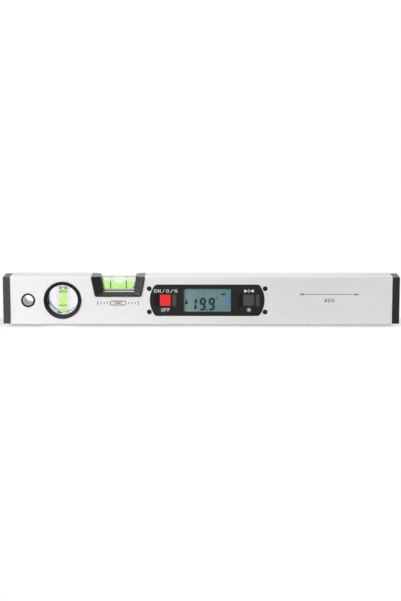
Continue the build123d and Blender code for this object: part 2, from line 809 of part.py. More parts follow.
with BuildPart() as top_bubble:
    with BuildSketch(Plane.XZ):
        with Locations((top_bubble_x, top_roof_z)):
            Ellipse(top_bubble_length / 2, top_bubble_height)
    extrude(amount=top_bore_radius, both=True)
    with BuildSketch(Plane.YZ.offset(top_bubble_x)):
        with Locations((0, top_axis_z)):
            Circle(top_bore_radius - bubble_gap)
    extrude(amount=top_bubble_length, both=True, mode=Mode.INTERSECT)

with BuildPart() as top_vial_liquid:
    liquid_x = top_chamber_left + fill_gap
    bar_along(liquid_x, top_chamber_right - liquid_x, top_bore_radius - fill_gap, 0, top_axis_z)
    with BuildSketch(Plane.XZ):
        with Locations((top_bubble_x, top_roof_z)):
            Ellipse(top_bubble_length / 2 + bubble_gap, top_bubble_height + bubble_gap)
    extrude(amount=top_bore, both=True, mode=Mode.SUBTRACT)

# Display bezel: fills the front opening, with a flange inside that the four screws pull up
with BuildPart() as display_bezel:
    with BuildSketch(at_y(-inner_y)) as bezel_outline:
        display_outline(bezel_outline, slip_gap)
    extrude(amount=-inner_y - bezel_face_y)
    fillet(display_bezel.faces().sort_by(Axis.Y)[0].edges(), radius=display_edge_radius)
    plate(display_x, -inner_y, bezel_back_y, bezel_width, bezel_height, bezel_flange_radius)
    # Window, with seats behind it for the lens and the glass
    opening(display_x, bezel_face_y, bezel_back_y, window_width, window_height, window_corner_radius)
    chamfer(display_bezel.faces().sort_by(Axis.Y)[0].inner_wires().edges(), length=window_chamfer)
    lens_seat_width = window_width + 2 * lens_border + 2 * slip_gap
    lens_seat_height = window_height + 2 * lens_border + 2 * slip_gap
    opening(display_x, lens_front_y, bezel_back_y, lens_seat_width, lens_seat_height, window_corner_radius)
    glass_seat_width = glass_width + 2 * slip_gap
    glass_seat_height = glass_height + 2 * slip_gap
    opening(display_x, lens_back_y, bezel_back_y, glass_seat_width, glass_seat_height, window_corner_radius)
    # Finger wells with sloping ends, and the holes for the buttons in their floors
    button_hole_width = button_width + 2 * running_gap
    for button_x in (power_x, hold_x):
        with BuildSketch(Plane.XY.offset(mid_z)):
            with BuildLine():
                Polyline(
                    (button_x - well_floor_half - well_slope_length, bezel_face_y),
                    (button_x - well_floor_half, well_floor_y),
                    (button_x + well_floor_half, well_floor_y),
                    (button_x + well_floor_half + well_slope_length, bezel_face_y),
                    close=True,
                )
            make_face()
        extrude(amount=well_height / 2, both=True, mode=Mode.SUBTRACT)
        opening(button_x, well_floor_y, bezel_back_y, button_hole_width, well_height, button_corner_radius)
    # Posts for the board and bosses for the panel screws
    post_places = four_places(post_span_x, post_span_z)
    boss_places = four_places(screw_span_x, screw_span_z)
    pilot_radius = board_screw_shank_diameter / 2 + fill_gap
    upright_discs(post_places, post_diameter / 2, bezel_back_y, board_front_y)
    upright_discs(post_places, pilot_radius, board_front_y - board_screw_grip, board_front_y, Mode.SUBTRACT)
    upright_discs(boss_places, screw_boss_diameter / 2, bezel_back_y, bezel_back_y + boss_length)
    upright_discs(boss_places, screw_hole_radius, -inner_y, bezel_back_y + boss_length, Mode.SUBTRACT)

with BuildPart() as panel_screws:
    casing_screws(front_screw_plane, screw_span_x, screw_span_z)

# Display stack: lens, two-pane glass, backlight and rubber contact strips
with BuildPart() as display_lens:
    lens_width = window_width + 2 * lens_border
    lens_height = window_height + 2 * lens_border
    plate(display_x, lens_front_y, lens_back_y, lens_width, lens_height, window_corner_radius)

with BuildPart() as lcd_glass:
    front_pane_height = glass_height - 2 * glass_ledge
    plate(display_x, glass_front_y, glass_mid_y, glass_width, front_pane_height, window_corner_radius)
    plate(display_x, glass_mid_y, glass_back_y, glass_width, glass_height, window_corner_radius)

with BuildPart() as lcd_backlight:
    plate(display_x, glass_back_y, light_back_y, glass_width, light_height, window_corner_radius)

with BuildPart() as contact_strips:
    with BuildSketch(at_y(board_front_y)):
        with Locations((display_x, mid_z)):
            with GridLocations(0, strip_span, 1, 2):
                Rectangle(glass_width - 2 * strip_end_margin, strip_height)
    extrude(amount=board_front_y - glass_back_y)

# Circuit board, the parts on its back and the screws that hold it to the bezel
with BuildPart() as circuit_board:
    plate(display_x, board_front_y, board_back_y, board_width, board_height, board_corner_radius)
    hole_places = four_places(post_span_x, post_span_z)
    hole_radius = board_screw_shank_diameter / 2 + slip_gap
    upright_discs(hole_places, hole_radius, board_front_y, board_back_y, Mode.SUBTRACT)

with BuildPart() as tilt_sensor:
    sensor_back_y = board_back_y + sensor_height
    plate(display_x, board_back_y, sensor_back_y, sensor_width, sensor_width, sensor_edge_radius)
    fillet(tilt_sensor.faces().sort_by(Axis.Y)[-1].edges(), radius=sensor_edge_radius)

with BuildPart() as controller_chip:
    with BuildSketch(at_y(board_back_y + chip_height)):
        with Locations((display_x + chip_offset, mid_z)):
            Rectangle(chip_width, chip_width)
    extrude(amount=chip_height)
    chamfer(controller_chip.faces().sort_by(Axis.Y)[-1].edges(), length=chip_chamfer)

with BuildPart() as board_screws:
    screw_places = four_places(post_span_x, post_span_z)
    head_back_y = board_back_y + board_screw_head_height
    shank_end_y = board_front_y - board_screw_grip + fill_gap
    upright_discs(screw_places, board_screw_head_diameter / 2, board_back_y, head_back_y)
    upright_discs(screw_places, board_screw_shank_diameter / 2, shank_end_y, board_back_y)

# Push buttons with the switches and plungers behind them
with BuildPart() as power_button:
    button_shape(power_x)
    fillet(power_button.faces().sort_by(Axis.Y)[0].edges(), radius=button_edge_radius)

with BuildPart() as hold_button:
    button_shape(hold_x)
    fillet(hold_button.faces().sort_by(Axis.Y)[0].edges(), radius=button_edge_radius)

with BuildPart() as power_switch:
    switch_shape(power_x)

with BuildPart() as hold_switch:
    switch_shape(hold_x)

with BuildPart() as power_plunger:
    upright_discs([(power_x, mid_z)], plunger_diameter / 2, flange_back_y, plunger_end_y)

with BuildPart() as hold_plunger:
    upright_discs([(hold_x, mid_z)], plunger_diameter / 2, flange_back_y, plunger_end_y)

# Battery tray: a tub with a flange inside the rear wall and a rim that fills the rear opening
with BuildPart() as battery_tray:
    tub_length = tray_inner_length + 2 * tray_wall
    tub_height = tray_inner_height + 2 * tray_wall
    plate(display_x, tray_floor_front_y, tray_flange_front_y, tub_length, tub_height, tray_corner_radius)
    flange_height = rim_height + 2 * tray_flange_edge
    plate(display_x, tray_flange_front_y, inner_y, tray_flange_length, flange_height, bezel_flange_radius)
    plate(display_x, inner_y, tray_face_y, rim_length, rim_height, tray_corner_radius - slip_gap)
    tray_bosses = four_places(tray_screw_span_x, tray_screw_rise)
    boss_end_y = tray_flange_front_y - tray_boss_length
    upright_discs(tray_bosses, screw_boss_diameter / 2, boss_end_y, tray_flange_front_y)
    upright_discs(tray_bosses, screw_hole_radius, boss_end_y, inner_y, Mode.SUBTRACT)
    # Room for the cells, and the rebate in which the door lies
    inner_radius = tray_corner_radius - tray_wall
    opening(display_x, tray_floor_y, tray_face_y, tray_inner_length, tray_inner_height, inner_radius)
    opening(display_x, ledge_y, tray_face_y, rebate_length, rebate_height, tray_corner_radius)
    # Pockets under the rim for the door's tabs, and a finger notch at the other end
    pocket_left = hinge_x - door_tab_reach - running_gap
    pocket_low_y = tab_low_y - door_tab_room
    pocket_high_y = door_under_y + door_gap
    pocket_x = (pocket_left + tray_left_x) / 2
    pocket_y = (pocket_low_y + pocket_high_y) / 2
    with Locations(*[(pocket_x, pocket_y, mid_z + side * door_tab_spacing / 2) for side in (-1, 1)]):
        Box(
            tray_left_x - pocket_left,
            pocket_high_y - pocket_low_y,
            door_tab_width + 2 * running_gap,
            mode=Mode.SUBTRACT,
        )
    notch_floor_y = tray_face_y - finger_notch_depth
    notch_radius = tray_rim - slip_gap
    opening(latch_x + tray_rim, notch_floor_y, tray_face_y, 2 * tray_rim, finger_notch_width, notch_radius)
    # Slots in the floor for the two terminals' tails
    with BuildSketch(at_y(tray_floor_y)):
        for cell_z in (lower_cell_z, upper_cell_z):
            with Locations((tray_left_x + contact_thickness, cell_z)):
                Rectangle(2 * contact_thickness, contact_width + 2 * running_gap)
    extrude(amount=tray_wall, mode=Mode.SUBTRACT)

with BuildPart() as tray_screws:
    casing_screws(back_screw_plane, tray_screw_span_x, tray_screw_rise)

# Cells and their sheet-metal contacts
with BuildPart() as battery_cell_upper:
    cell_shape(upper_cell_z, 1)
    fillet(can_rims(battery_cell_upper), radius=cell_edge_radius)

with BuildPart() as battery_cell_lower:
    cell_shape(lower_cell_z, -1)
    fillet(can_rims(battery_cell_lower), radius=cell_edge_radius)

with BuildPart() as battery_terminals:
    for cell_z in (lower_cell_z, upper_cell_z):
        leaf_contact(tray_left_x, 1, cell_z, board_back_y)

with BuildPart() as battery_link:
    for cell_z in (lower_cell_z, upper_cell_z):
        leaf_contact(tray_right_x, -1, cell_z, tray_floor_y + slip_gap)
    with Locations((tray_right_x - contact_thickness, cell_y, mid_z)):
        Box(contact_thickness, link_height, cell_spacing)

# Battery door: a plate with two tabs that hook under the rim, and grip grooves at the other end
with BuildPart() as battery_door:
    plate(display_x, door_under_y, door_face_y, door_length, door_height, tray_corner_radius - running_gap)
    tab_left = hinge_x - door_tab_reach
    tab_length = door_tab_reach + door_tab_root
    with BuildSketch(at_y(door_under_y)):
        with Locations((tab_left + tab_length / 2, mid_z)):
            with GridLocations(0, door_tab_spacing, 1, 2):
                Rectangle(tab_length, door_tab_width)
    extrude(amount=door_tab_thickness)
    groove_x = latch_x - door_groove_margin - (door_groove_count - 1) * door_groove_pitch / 2
    with BuildSketch(at_y(door_face_y)):
        with Locations((groove_x, mid_z)):
            with GridLocations(door_groove_pitch, 0, door_groove_count, 1):
                SlotOverall(door_groove_length, door_groove_width, rotation=90)
    extrude(amount=door_groove_depth, mode=Mode.SUBTRACT)

pieces = {
    "level_body": level_body,
    "left_end_cap": left_end_cap,
    "right_end_cap": right_end_cap,
    "hanger_sleeve": hanger_sleeve,
    "hanger_grommet_front": hanger_grommet_front,
    "hanger_grommet_rear": hanger_grommet_rear,
    "plumb_bezel_front": plumb_bezel_front,
    "plumb_bezel_rear": plumb_bezel_rear,
    "plumb_holder": plumb_holder,
    "plumb_vial_block": plumb_vial_block,
    "plumb_vial_lines": plumb_vial_lines,
    "plumb_vial_plug": plumb_vial_plug,
    "plumb_vial_liquid": plumb_vial_liquid,
    "plumb_bubble": plumb_bubble,
    "top_vial_frame": top_vial_frame,
    "top_vial_pad": top_vial_pad,
    "top_vial_block": top_vial_block,
    "top_vial_lines": top_vial_lines,
    "top_vial_plug": top_vial_plug,
    "top_vial_liquid": top_vial_liquid,
    "top_bubble": top_bubble,
    "display_bezel": display_bezel,
    "panel_screws": panel_screws,
    "display_lens": display_lens,
    "lcd_glass": lcd_glass,
    "lcd_backlight": lcd_backlight,
    "contact_strips": contact_strips,
    "circuit_board": circuit_board,
    "tilt_sensor": tilt_sensor,
    "controller_chip": controller_chip,
    "board_screws": board_screws,
    "power_button": power_button,
    "hold_button": hold_button,
    "power_switch": power_switch,
    "hold_switch": hold_switch,
    "power_plunger": power_plunger,
    "hold_plunger": hold_plunger,
    "battery_tray": battery_tray,
    "tray_screws": tray_screws,
    "battery_cell_upper": battery_cell_upper,
    "battery_cell_lower": battery_cell_lower,
    "battery_terminals": battery_terminals,
    "battery_link": battery_link,
    "battery_door": battery_door,
}

os.makedirs("parts", exist_ok=True)
for name, piece in pieces.items():
    piece.part.label = name
    export_step(piece.part, f"parts/{name}.step")
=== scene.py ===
"""Finishes, vial liquids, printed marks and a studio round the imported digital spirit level."""

import math

import bmesh
import bpy
import numpy as np
from bpy.props import FloatProperty, FloatVectorProperty, PointerProperty
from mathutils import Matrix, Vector


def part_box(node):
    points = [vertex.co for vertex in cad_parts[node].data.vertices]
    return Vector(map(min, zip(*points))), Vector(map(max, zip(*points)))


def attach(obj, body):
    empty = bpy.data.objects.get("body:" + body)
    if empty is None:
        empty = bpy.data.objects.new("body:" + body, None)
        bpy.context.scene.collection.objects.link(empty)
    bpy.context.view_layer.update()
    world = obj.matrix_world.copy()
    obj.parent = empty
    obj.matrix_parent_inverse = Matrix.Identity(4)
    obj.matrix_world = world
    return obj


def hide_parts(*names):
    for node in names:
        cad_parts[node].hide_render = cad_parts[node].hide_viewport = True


bl_info = {
    "name": "Digital spirit level",
    "version": (1, 0, 0),
    "blender": (4, 5, 0),
    "location": "3D View > Sidebar > Spirit level",
    "description": "Finishes, vial liquids, printed marks and a studio for a digital spirit level",
    "category": "Object",
}

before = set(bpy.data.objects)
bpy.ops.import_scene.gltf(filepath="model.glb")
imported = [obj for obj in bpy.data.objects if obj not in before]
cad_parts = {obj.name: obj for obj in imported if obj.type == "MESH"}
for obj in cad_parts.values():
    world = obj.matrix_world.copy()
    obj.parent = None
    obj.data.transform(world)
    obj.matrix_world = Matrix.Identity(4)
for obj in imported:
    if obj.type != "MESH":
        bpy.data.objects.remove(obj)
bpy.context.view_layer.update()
MM = 0.001
BLACK = (0.0, 0.0, 0.0)
WHITE = (1.0, 1.0, 1.0)
# The front face, a little behind the section's two rails
FACE_Y = -13.7 * MM
# Index of refraction of the vial blocks, their plugs and their liquid
ACRYLIC_IOR = 1.49
PLUG_IOR = 1.45
LIQUID_IOR = 1.44


def middle(node):
    """The centre of a node's box."""
    low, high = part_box(node)
    return (low + high) / 2


def colour(name, description, default):
    """A colour that a user may change."""
    return FloatVectorProperty(
        name=name, description=description, subtype="COLOR", size=3, min=0.0, max=1.0, default=default
    )


def length(name, description, default):
    """A length that a user may change, given in millimetres."""
    return FloatProperty(
        name=name, description=description, unit="LENGTH", precision=5, default=default * MM
    )


def angle(name, description, default):
    """An angle that a user may change, given in degrees."""
    return FloatProperty(name=name, description=description, subtype="ANGLE", default=math.radians(default))


def power(name, description, default):
    """A lamp's power that a user may change, in watts."""
    return FloatProperty(name=name, description=description, subtype="POWER", default=default, min=0.0)


class LevelColours(bpy.types.PropertyGroup):
    """Colours of the level's finishes."""

    aluminium: colour("Aluminium", "Satin box section", (0.86, 0.857, 0.858))
    # Painted light: the left cap's colour is a lit copy and the right cap's a shaded copy of one moulding,
    # lighter where light falls from the left
    left_cap_lit: colour("Left cap", "Moulded cap at the left end", (0.047, 0.047, 0.048))
    right_cap_shaded: colour("Right cap", "Moulded cap at the right end", (0.019, 0.0185, 0.019))
    moulding: colour("Vial frames", "Black mouldings round the vials", (0.012, 0.0115, 0.0135))
    panel: colour("Display panel", "Satin black panel round the display", (0.0092, 0.0092, 0.0098))
    liquid: colour("Vial liquid", "Yellow green liquid in both vials", (0.69, 1.0, 0.34))
    glass: colour("Display", "Grey green display glass", (0.124, 0.243, 0.248))
    digits: colour("Digits", "Segments that the display shows", (0.004, 0.024, 0.042))
    power: colour("Power button", "Red push button", (0.86, 0.018, 0.012))
    hold: colour("Hold button", "Grey push button", (0.058, 0.059, 0.067))
    panel_print: colour("Panel print", "White lettering on the panel", (0.86, 0.86, 0.86))
    face_print: colour("Face print", "Dark marks on the aluminium", (0.06, 0.06, 0.065))


class LevelSizes(bpy.types.PropertyGroup):
    """Sizes of the printed marks."""

    print_height: length("Print height", "Thickness of printed ink", 0.03)
    letter_height: length("Letter height", "Height of the panel's letters", 3.5)
    letter_stroke: length("Letter stroke", "Stroke of the panel's letters", 0.5)
    digit_height: length("Digit height", "Height of the display's digits", 13.3)
    digit_width: length("Digit width", "Width of the display's digits", 6.4)
    digit_stroke: length("Digit stroke", "Width of one display segment", 2.25)
    mark_height: length("Mark height", "Height of the marks on the face", 4.2)
    mark_stroke: length("Mark stroke", "Stroke of the marks on the face", 0.7)


class LevelStudio(bpy.types.PropertyGroup):
    """Camera and lights of the studio."""

    lens: FloatProperty(name="Lens", description="Focal length", unit="CAMERA", default=95.97, min=10.0)
    camera_place: FloatVectorProperty(
        name="Camera",
        description="Where the camera stands",
        subtype="TRANSLATION",
        default=(0.0036, -1.6077, 0.2896),
    )
    pan: angle("Pan", "How far the camera turns to the right", -0.157)
    tilt: angle("Tilt", "How far the camera looks down", 9.465)
    key_power: power("Key light", "Power of the soft light at the front left", 10.1)
    top_power: power("Top light", "Power of the soft light above", 2.0)
    surround: FloatProperty(name="Surround", description="Light from all round", default=0.42, min=0.0)


class LevelSettings(bpy.types.PropertyGroup):
    """All settings of the level."""

    colours: PointerProperty(type=LevelColours)
    sizes: PointerProperty(type=LevelSizes)
    studio: PointerProperty(type=LevelStudio)


class Value:
    """A socket of a finish. Arithmetic on it adds Math nodes."""

    def __init__(self, finish, socket):
        self.finish = finish
        self.socket = socket

    def math(self, operation, *terms):
        """A Math node on some terms."""
        return self.finish.node("ShaderNodeMath", {"operation": operation}, dict(enumerate(terms)))

    def __add__(self, other):
        return self.math("ADD", self, other)

    def __radd__(self, other):
        return self.math("ADD", other, self)

    def __sub__(self, other):
        return self.math("SUBTRACT", self, other)

    def __rsub__(self, other):
        return self.math("SUBTRACT", other, self)

    def __mul__(self, other):
        return self.math("MULTIPLY", self, other)

    def __rmul__(self, other):
        return self.math("MULTIPLY", other, self)

    def __abs__(self):
        return self.math("ABSOLUTE", self)

    def most(self, other):
        """The larger of two values."""
        return self.math("MAXIMUM", self, other)

    def rise(self, low, high):
        """Rise smoothly from 0 at low to 1 at high."""
        limits = {"Value": self, "From Min": low, "From Max": high}
        return self.finish.node("ShaderNodeMapRange", {"interpolation_type": "SMOOTHSTEP"}, limits)

    def fall(self, low, high):
        """Fall smoothly from 1 at low to 0 at high."""
        return 1.0 - self.rise(low, high)

    def near(self, centre, core, reach):
        """1 as far as core from a centre, falling to 0 at reach."""
        return abs(self - centre).fall(core, reach)


class Finish:
    """A node tree in the making, of a material or the world."""

    def __init__(self, owner):
        self.owner = owner
        owner.use_nodes = True
        self.tree = owner.node_tree
        self.tree.nodes.clear()

    def node(self, kind, settings=None, inputs=None, output=0):
        """Add a node: its settings first, then values or links for its sockets."""
        made = self.tree.nodes.new(kind)
        for name, value in (settings or {}).items():
            setattr(made, name, value)
        for name, value in (inputs or {}).items():
            if isinstance(value, Value):
                self.tree.links.new(value.socket, made.inputs[name])
            else:
                made.inputs[name].default_value = value
        return Value(self, made.outputs[output]) if made.outputs else None

    def outputs(self, kind, names, inputs=None):
        """Add a node and take several of its outputs by name."""
        found = self.node(kind, {}, inputs).socket.node.outputs
        return [Value(self, found[name]) for name in names]

    def point(self):
        """Object coordinates in metres."""
        return self.node("ShaderNodeTexCoord", output="Object")

    def axes(self):
        """X, Y and Z of the point in metres."""
        return self.outputs("ShaderNodeSeparateXYZ", "XYZ", {"Vector": self.point()})

    def noise(self, scale, detail=2.0, roughness=0.5):
        """Noise from 0 to 1 whose cells are 1 / scale metres long, alike on each axis or by three scales."""
        scales = (scale,) * 3 if isinstance(scale, float) else scale
        spread = self.node("ShaderNodeMapping", {}, {"Vector": self.point(), "Scale": scales})
        values = {"Vector": spread, "Scale": 1.0, "Detail": detail, "Roughness": roughness}
        return self.node("ShaderNodeTexNoise", {}, values)

    def facing(self):
        """0 where the surface faces the viewer, rising to 1 at its rim."""
        return self.node("ShaderNodeLayerWeight", {}, {"Blend": 0.5}, output="Facing")

    def blend(self, share, first, second, blend_type="MIX"):
        """Mix two colours; a plain tuple of three gets a full alpha."""
        ends = [end if isinstance(end, Value) else (*end, 1.0) for end in (first, second)]
        settings = {"data_type": "RGBA", "blend_type": blend_type}
        return self.node("ShaderNodeMix", settings, {0: share, 6: ends[0], 7: ends[1]}, output=2)

    def principled(self, tone, roughness, height=None, depth=0.0, **others):
        """A Principled surface, bumped by height to a depth; others are inputs, with _ for a space."""
        inputs = {"Base Color": tone, "Roughness": roughness}
        inputs |= {name.replace("_", " "): value for name, value in others.items()}
        if height is not None:
            bump = {"Strength": 0.7, "Distance": depth, "Height": height}
            inputs["Normal"] = self.node("ShaderNodeBump", {}, bump)
        return self.node("ShaderNodeBsdfPrincipled", {}, inputs)

    def close(self, shader, kind="ShaderNodeOutputMaterial"):
        """Join the last shader to the output, and give the finished owner."""
        self.node(kind, {}, {"Surface": shader})
        return self.owner

    def surface(self, *inputs, **others):
        """Close the material with one Principled surface."""
        return self.close(self.principled(*inputs, **others))


def new_finish(name):
    """An empty finish of a new material."""
    return Finish(bpy.data.materials.new(name))


def shaded(tone, factor):
    """A colour made darker or lighter by a factor."""
    return tuple(min(1.0, part * factor) for part in tone)


def brushed_metal(name, tone, metallic, fine, broad, rough, change=None):
    """Metal with fine grain in its shade and bump, and faint bands; a change may alter its colour."""
    finish = new_finish(name)
    grain = finish.noise(fine, detail=4.0, roughness=0.6)
    bands = finish.noise(broad)
    mixed = finish.blend(0.6 * grain + 0.4 * bands, shaded(tone, 0.93), shaded(tone, 1.05))
    if change is not None:
        mixed = change(finish, mixed)
    return finish.surface(mixed, rough + 0.16 * grain, grain, 0.012 * MM, Metallic=metallic)


def moulded(name, tone, rough, grain_size=0.28, level=0.5, change=None):
    """Moulded plastic: fine grain in the bump and slow mottling; a change may alter its colour."""
    finish = new_finish(name)
    grain = finish.noise(1.0 / (grain_size * MM), detail=3.0)
    mottle = finish.noise(90.0, detail=4.0, roughness=0.65)
    mixed = finish.blend(0.7 * mottle + 0.3 * grain, shaded(tone, 0.82), shaded(tone, 1.18))
    if change is not None:
        mixed = change(finish, mixed)
    return finish.surface(mixed, rough + 0.14 * mottle, grain, 0.02 * MM, Specular_IOR_Level=level)


def clear(name, tone, ior, rough=0.015, change=None):
    """Clear moulding with faint flow marks; a change may alter its tint and add inputs."""
    finish = new_finish(name)
    flow = finish.noise(160.0)
    mixed = finish.blend(flow, shaded(tone, 0.97), tone)
    inputs = {"Transmission_Weight": 1.0, "IOR": ior}
    if change is not None:
        mixed = change(finish, mixed, inputs)
    return finish.surface(mixed, rough + 0.02 * flow, flow, 0.006 * MM, **inputs)


def glowing(name, core, strength, lines=()):
    """Dyed liquid that glows as painted light and lets light through, with pale edges and a painted shadow
    of each line in a dark band.
    """
    finish = new_finish(name)
    flow = finish.noise(160.0)
    mixed = finish.blend(flow, shaded(core, 0.97), core)
    shown = finish.blend(finish.facing().rise(0.03, 0.5), mixed, (0.8, 1.0, 0.62))
    # Painted shadow: a dark band where each vial line shades the liquid
    for line_x in lines:
        line = finish.axes()[0].near(line_x, 0.34 * MM, 0.5 * MM)
        shown = finish.blend(line, shown, (0.05, 0.13, 0.0))
    # Painted light: the liquid glows in its own colour
    inputs = {"Transmission_Weight": 1.0, "IOR": LIQUID_IOR}
    inputs |= {"Emission_Color": shown, "Emission_Strength": strength}
    dimmed = finish.blend(0.04 * flow + 0.48, BLACK, shown)
    return finish.surface(dimmed, 0.015 + 0.02 * flow, flow, 0.006 * MM, **inputs)


def glowing_bubble(node, core, rim, reach, start, end):
    """Air in the liquid: a bright glowing oval at the node's centre as a painted highlight, and a dark rim
    outside it as painted shade.
    """
    finish = new_finish(node + "_air")
    drift = finish.noise(400.0)
    bright = finish.blend(drift, shaded(core, 0.94), core)
    centre = middle(node)
    x, _, z = finish.axes()
    wide, tall = (x - centre.x) * (1.0 / reach[0]), (z - centre.z) * (1.0 / reach[1])
    # Painted highlight inside the oval and painted shade in its rim, all glowing
    tone = finish.blend((wide * wide + tall * tall).rise(start, end), bright, rim)
    return finish.surface(tone, 0.1 + 0.05 * drift, Emission_Color=tone, Emission_Strength=1.45)


def ink(name, tone, rough=0.55, level=0.5):
    """Screen-printed ink: slightly uneven cover and sheen."""
    finish = new_finish(name)
    cover = finish.noise(2600.0)
    mixed = finish.blend(cover, shaded(tone, 0.86), tone)
    return finish.surface(mixed, rough + 0.1 * cover, cover, 0.004 * MM, Specular_IOR_Level=level)


def dress(finish, *nodes):
    """Give CAD nodes one finish."""
    for name in nodes:
        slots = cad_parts[name].data.materials
        slots.clear()
        slots.append(finish)


def turned(profile, centre, axis, sides=72):
    """Turn a profile about an axis: point = centre + along * axis + radius * (cos t * side + sin t * up)."""
    axis = np.asarray(axis, float)
    side = np.array([axis[1], axis[2], axis[0]])
    up = np.cross(axis, side)
    turn = np.linspace(0.0, 2.0 * np.pi, sides, endpoint=False)
    round_about = np.cos(turn)[:, None] * side + np.sin(turn)[:, None] * up
    radius, along = np.asarray(profile, float).T
    return np.asarray(centre) + along[:, None, None] * axis + radius[:, None, None] * round_about


def ribbon(path, width, face_y, height, looped=False):
    """Carry a flat rectangle along a path of x and z: it stands from face_y by height, towards its sign."""
    path = np.asarray(path, float)
    if looped:
        ahead = np.roll(path, -1, axis=0) - np.roll(path, 1, axis=0)
    else:
        ahead = np.gradient(path, axis=0)
    ahead /= np.linalg.norm(ahead, axis=1)[:, None]
    half_width = np.broadcast_to(width, len(path)) / 2
    across = np.stack([-ahead[:, 1], ahead[:, 0]], axis=1) * half_width[:, None]
    sides = np.array([-1.0, -1.0, 1.0, 1.0])
    lifts = np.array([0.0, 1.0, 1.0, 0.0]) * height + face_y
    flat = path[:, None, :] + sides[None, :, None] * across[:, None, :]
    depth = np.broadcast_to(lifts, flat.shape[:2])
    return np.stack([flat[..., 0], depth, flat[..., 1]], axis=2)


def grid_faces(rows, columns, looped, start):
    """Quads of a grid whose columns close on themselves; its rows close too, or end in two flat caps."""
    row = np.arange(rows if looped else rows - 1)[:, None]
    column = np.arange(columns)[None, :]
    ahead = (row + 1) % rows
    beside = (column + 1) % columns
    near, far = row * columns, ahead * columns
    corners = np.broadcast_arrays(near + column, near + beside, far + beside, far + column)
    faces = (np.stack(corners, axis=2).reshape(-1, 4) + start).tolist()
    if not looped:
        faces.append((np.arange(columns)[::-1] + start).tolist())
        faces.append((np.arange(columns) + start + (rows - 1) * columns).tolist())
    return faces


def add_object(name, data):
    """A new object in the scene."""
    made = bpy.data.objects.new(name, data)
    bpy.context.scene.collection.objects.link(made)
    return made


def build_piece(name, grids, finish, body, replaced=(), smooth=False):
    """Make one object of closed grids, each (points, looped), and put it on its body."""
    points = []
    faces = []
    start = 0
    for grid, looped in grids:
        rows, columns = grid.shape[:2]
        points.append(grid.reshape(-1, 3))
        faces.extend(grid_faces(rows, columns, looped, start))
        start += rows * columns
    mesh = bpy.data.meshes.new(name)
    mesh.from_pydata(np.concatenate(points).tolist(), [], faces)
    shell = bmesh.new()
    shell.from_mesh(mesh)
    bmesh.ops.recalc_face_normals(shell, faces=shell.faces)
    shell.to_mesh(mesh)
    shell.free()
    mesh.polygons.foreach_set("use_smooth", [smooth] * len(mesh.polygons))
    mesh.materials.append(finish)
    mesh.validate()
    piece = add_object(name, mesh)
    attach(piece, body)
    if replaced:
        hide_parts(*replaced)


def bar(start, end):
    """A straight path between two points."""
    return np.array([start, end], float)


def oval(centre, half_width, half_height, power=2.0, count=48):
    """A closed path on a superellipse: x = a |cos t|^(2/p), z = b |sin t|^(2/p), with the signs kept."""
    turn = np.linspace(0.0, 2.0 * np.pi, count, endpoint=False)
    east, north = np.cos(turn), np.sin(turn)
    x = np.sign(east) * np.abs(east) ** (2.0 / power) * half_width
    z = np.sign(north) * np.abs(north) ** (2.0 / power) * half_height
    return np.stack([x, z], axis=1) + np.asarray(centre)


def letter(sign, x, z, wide, height, stroke):
    """Strokes of one letter or figure that stands on z with its left edge at x: (path, looped) pairs."""
    inset = stroke / 2
    left, right = x + inset, x + wide - inset
    foot, top, head = z + inset, z + height - inset, z + height
    waist, cross = z + 0.52 * height, z + 0.3 * height
    if sign in "O0":
        centre = ((left + right) / 2, (foot + top) / 2)
        squareness = 2.6 if sign == "O" else 2.3
        return [(oval(centre, (right - left) / 2, (top - foot) / 2, squareness), True)]
    bars = {
        "/": [((left, z), (right, head))],
        "%": [((left, z), (right, head))],
        "N": [((left, z), (left, head)), ((left, head), (right, z)), ((right, z), (right, head))],
        "F": [
            ((left, z), (left, head)),
            ((x, top), (x + wide, top)),
            ((x, waist), (x + 0.86 * wide, waist)),
        ],
        "4": [
            ((right - inset, z), (right - inset, head)),
            ((right, head), (left, z + 0.32 * height)),
            ((x, cross), (x + 1.1 * wide, cross)),
        ],
    }
    strokes = [(bar(*ends), False) for ends in bars[sign]]
    if sign == "%":
        dot = 0.13 * height
        dots = ((left, z + 0.76 * height), (right, z + 0.24 * height))
        strokes += [(oval(spot, dot, dot, count=24), True) for spot in dots]
    return strokes


def word(text, centre_x, z, wide, gap, height, stroke):
    """Strokes of a word centred on x: (path, looped, stroke) each."""
    first_x = centre_x - (len(text) * (wide + gap) - gap) / 2
    paths = []
    for at, sign in enumerate(text):
        paths += letter(sign, first_x + at * (wide + gap), z, wide, height, stroke)
    return [(path, looped, stroke) for path, looped in paths]


def printed(strokes, face_y, thickness):
    """Ribbons of ink from (path, looped, width), each a hair thicker than the last to share no plane."""
    return [
        (ribbon(path, width, face_y, -thickness * (1.0 + 0.02 * at), looped), looped)
        for at, (path, looped, width) in enumerate(strokes)
    ]


def segment(start, end, width):
    """One display segment: a bar whose ends taper to less than half its width."""
    start, end = np.asarray(start, float), np.asarray(end, float)
    ahead = (end - start) / np.linalg.norm(end - start) * width / 2
    path = np.array([start, start + ahead, end - ahead, end])
    return path, np.array([0.45, 1.0, 1.0, 0.45]) * width


def digit_segments(lit, x, z, width, height, stroke):
    """The lit segments of one seven-segment digit, lettered a to g round from the top."""
    inset = stroke / 2
    left, right = x + inset, x + width - inset
    foot, waist, top = z + inset, z + height / 2, z + height - inset
    gap, pause = stroke * 0.03, stroke * 0.16
    ends = {
        "a": ((left + gap, top), (right - gap, top)),
        "b": ((right, top - gap), (right, waist + pause)),
        "c": ((right, waist - pause), (right, foot + gap)),
        "d": ((left + gap, foot), (right - gap, foot)),
        "e": ((left, waist - pause), (left, foot + gap)),
        "f": ((left, top - gap), (left, waist + pause)),
        "g": ((left + gap, waist), (right - gap, waist)),
    }
    return [segment(*ends[name], stroke) for name in lit]


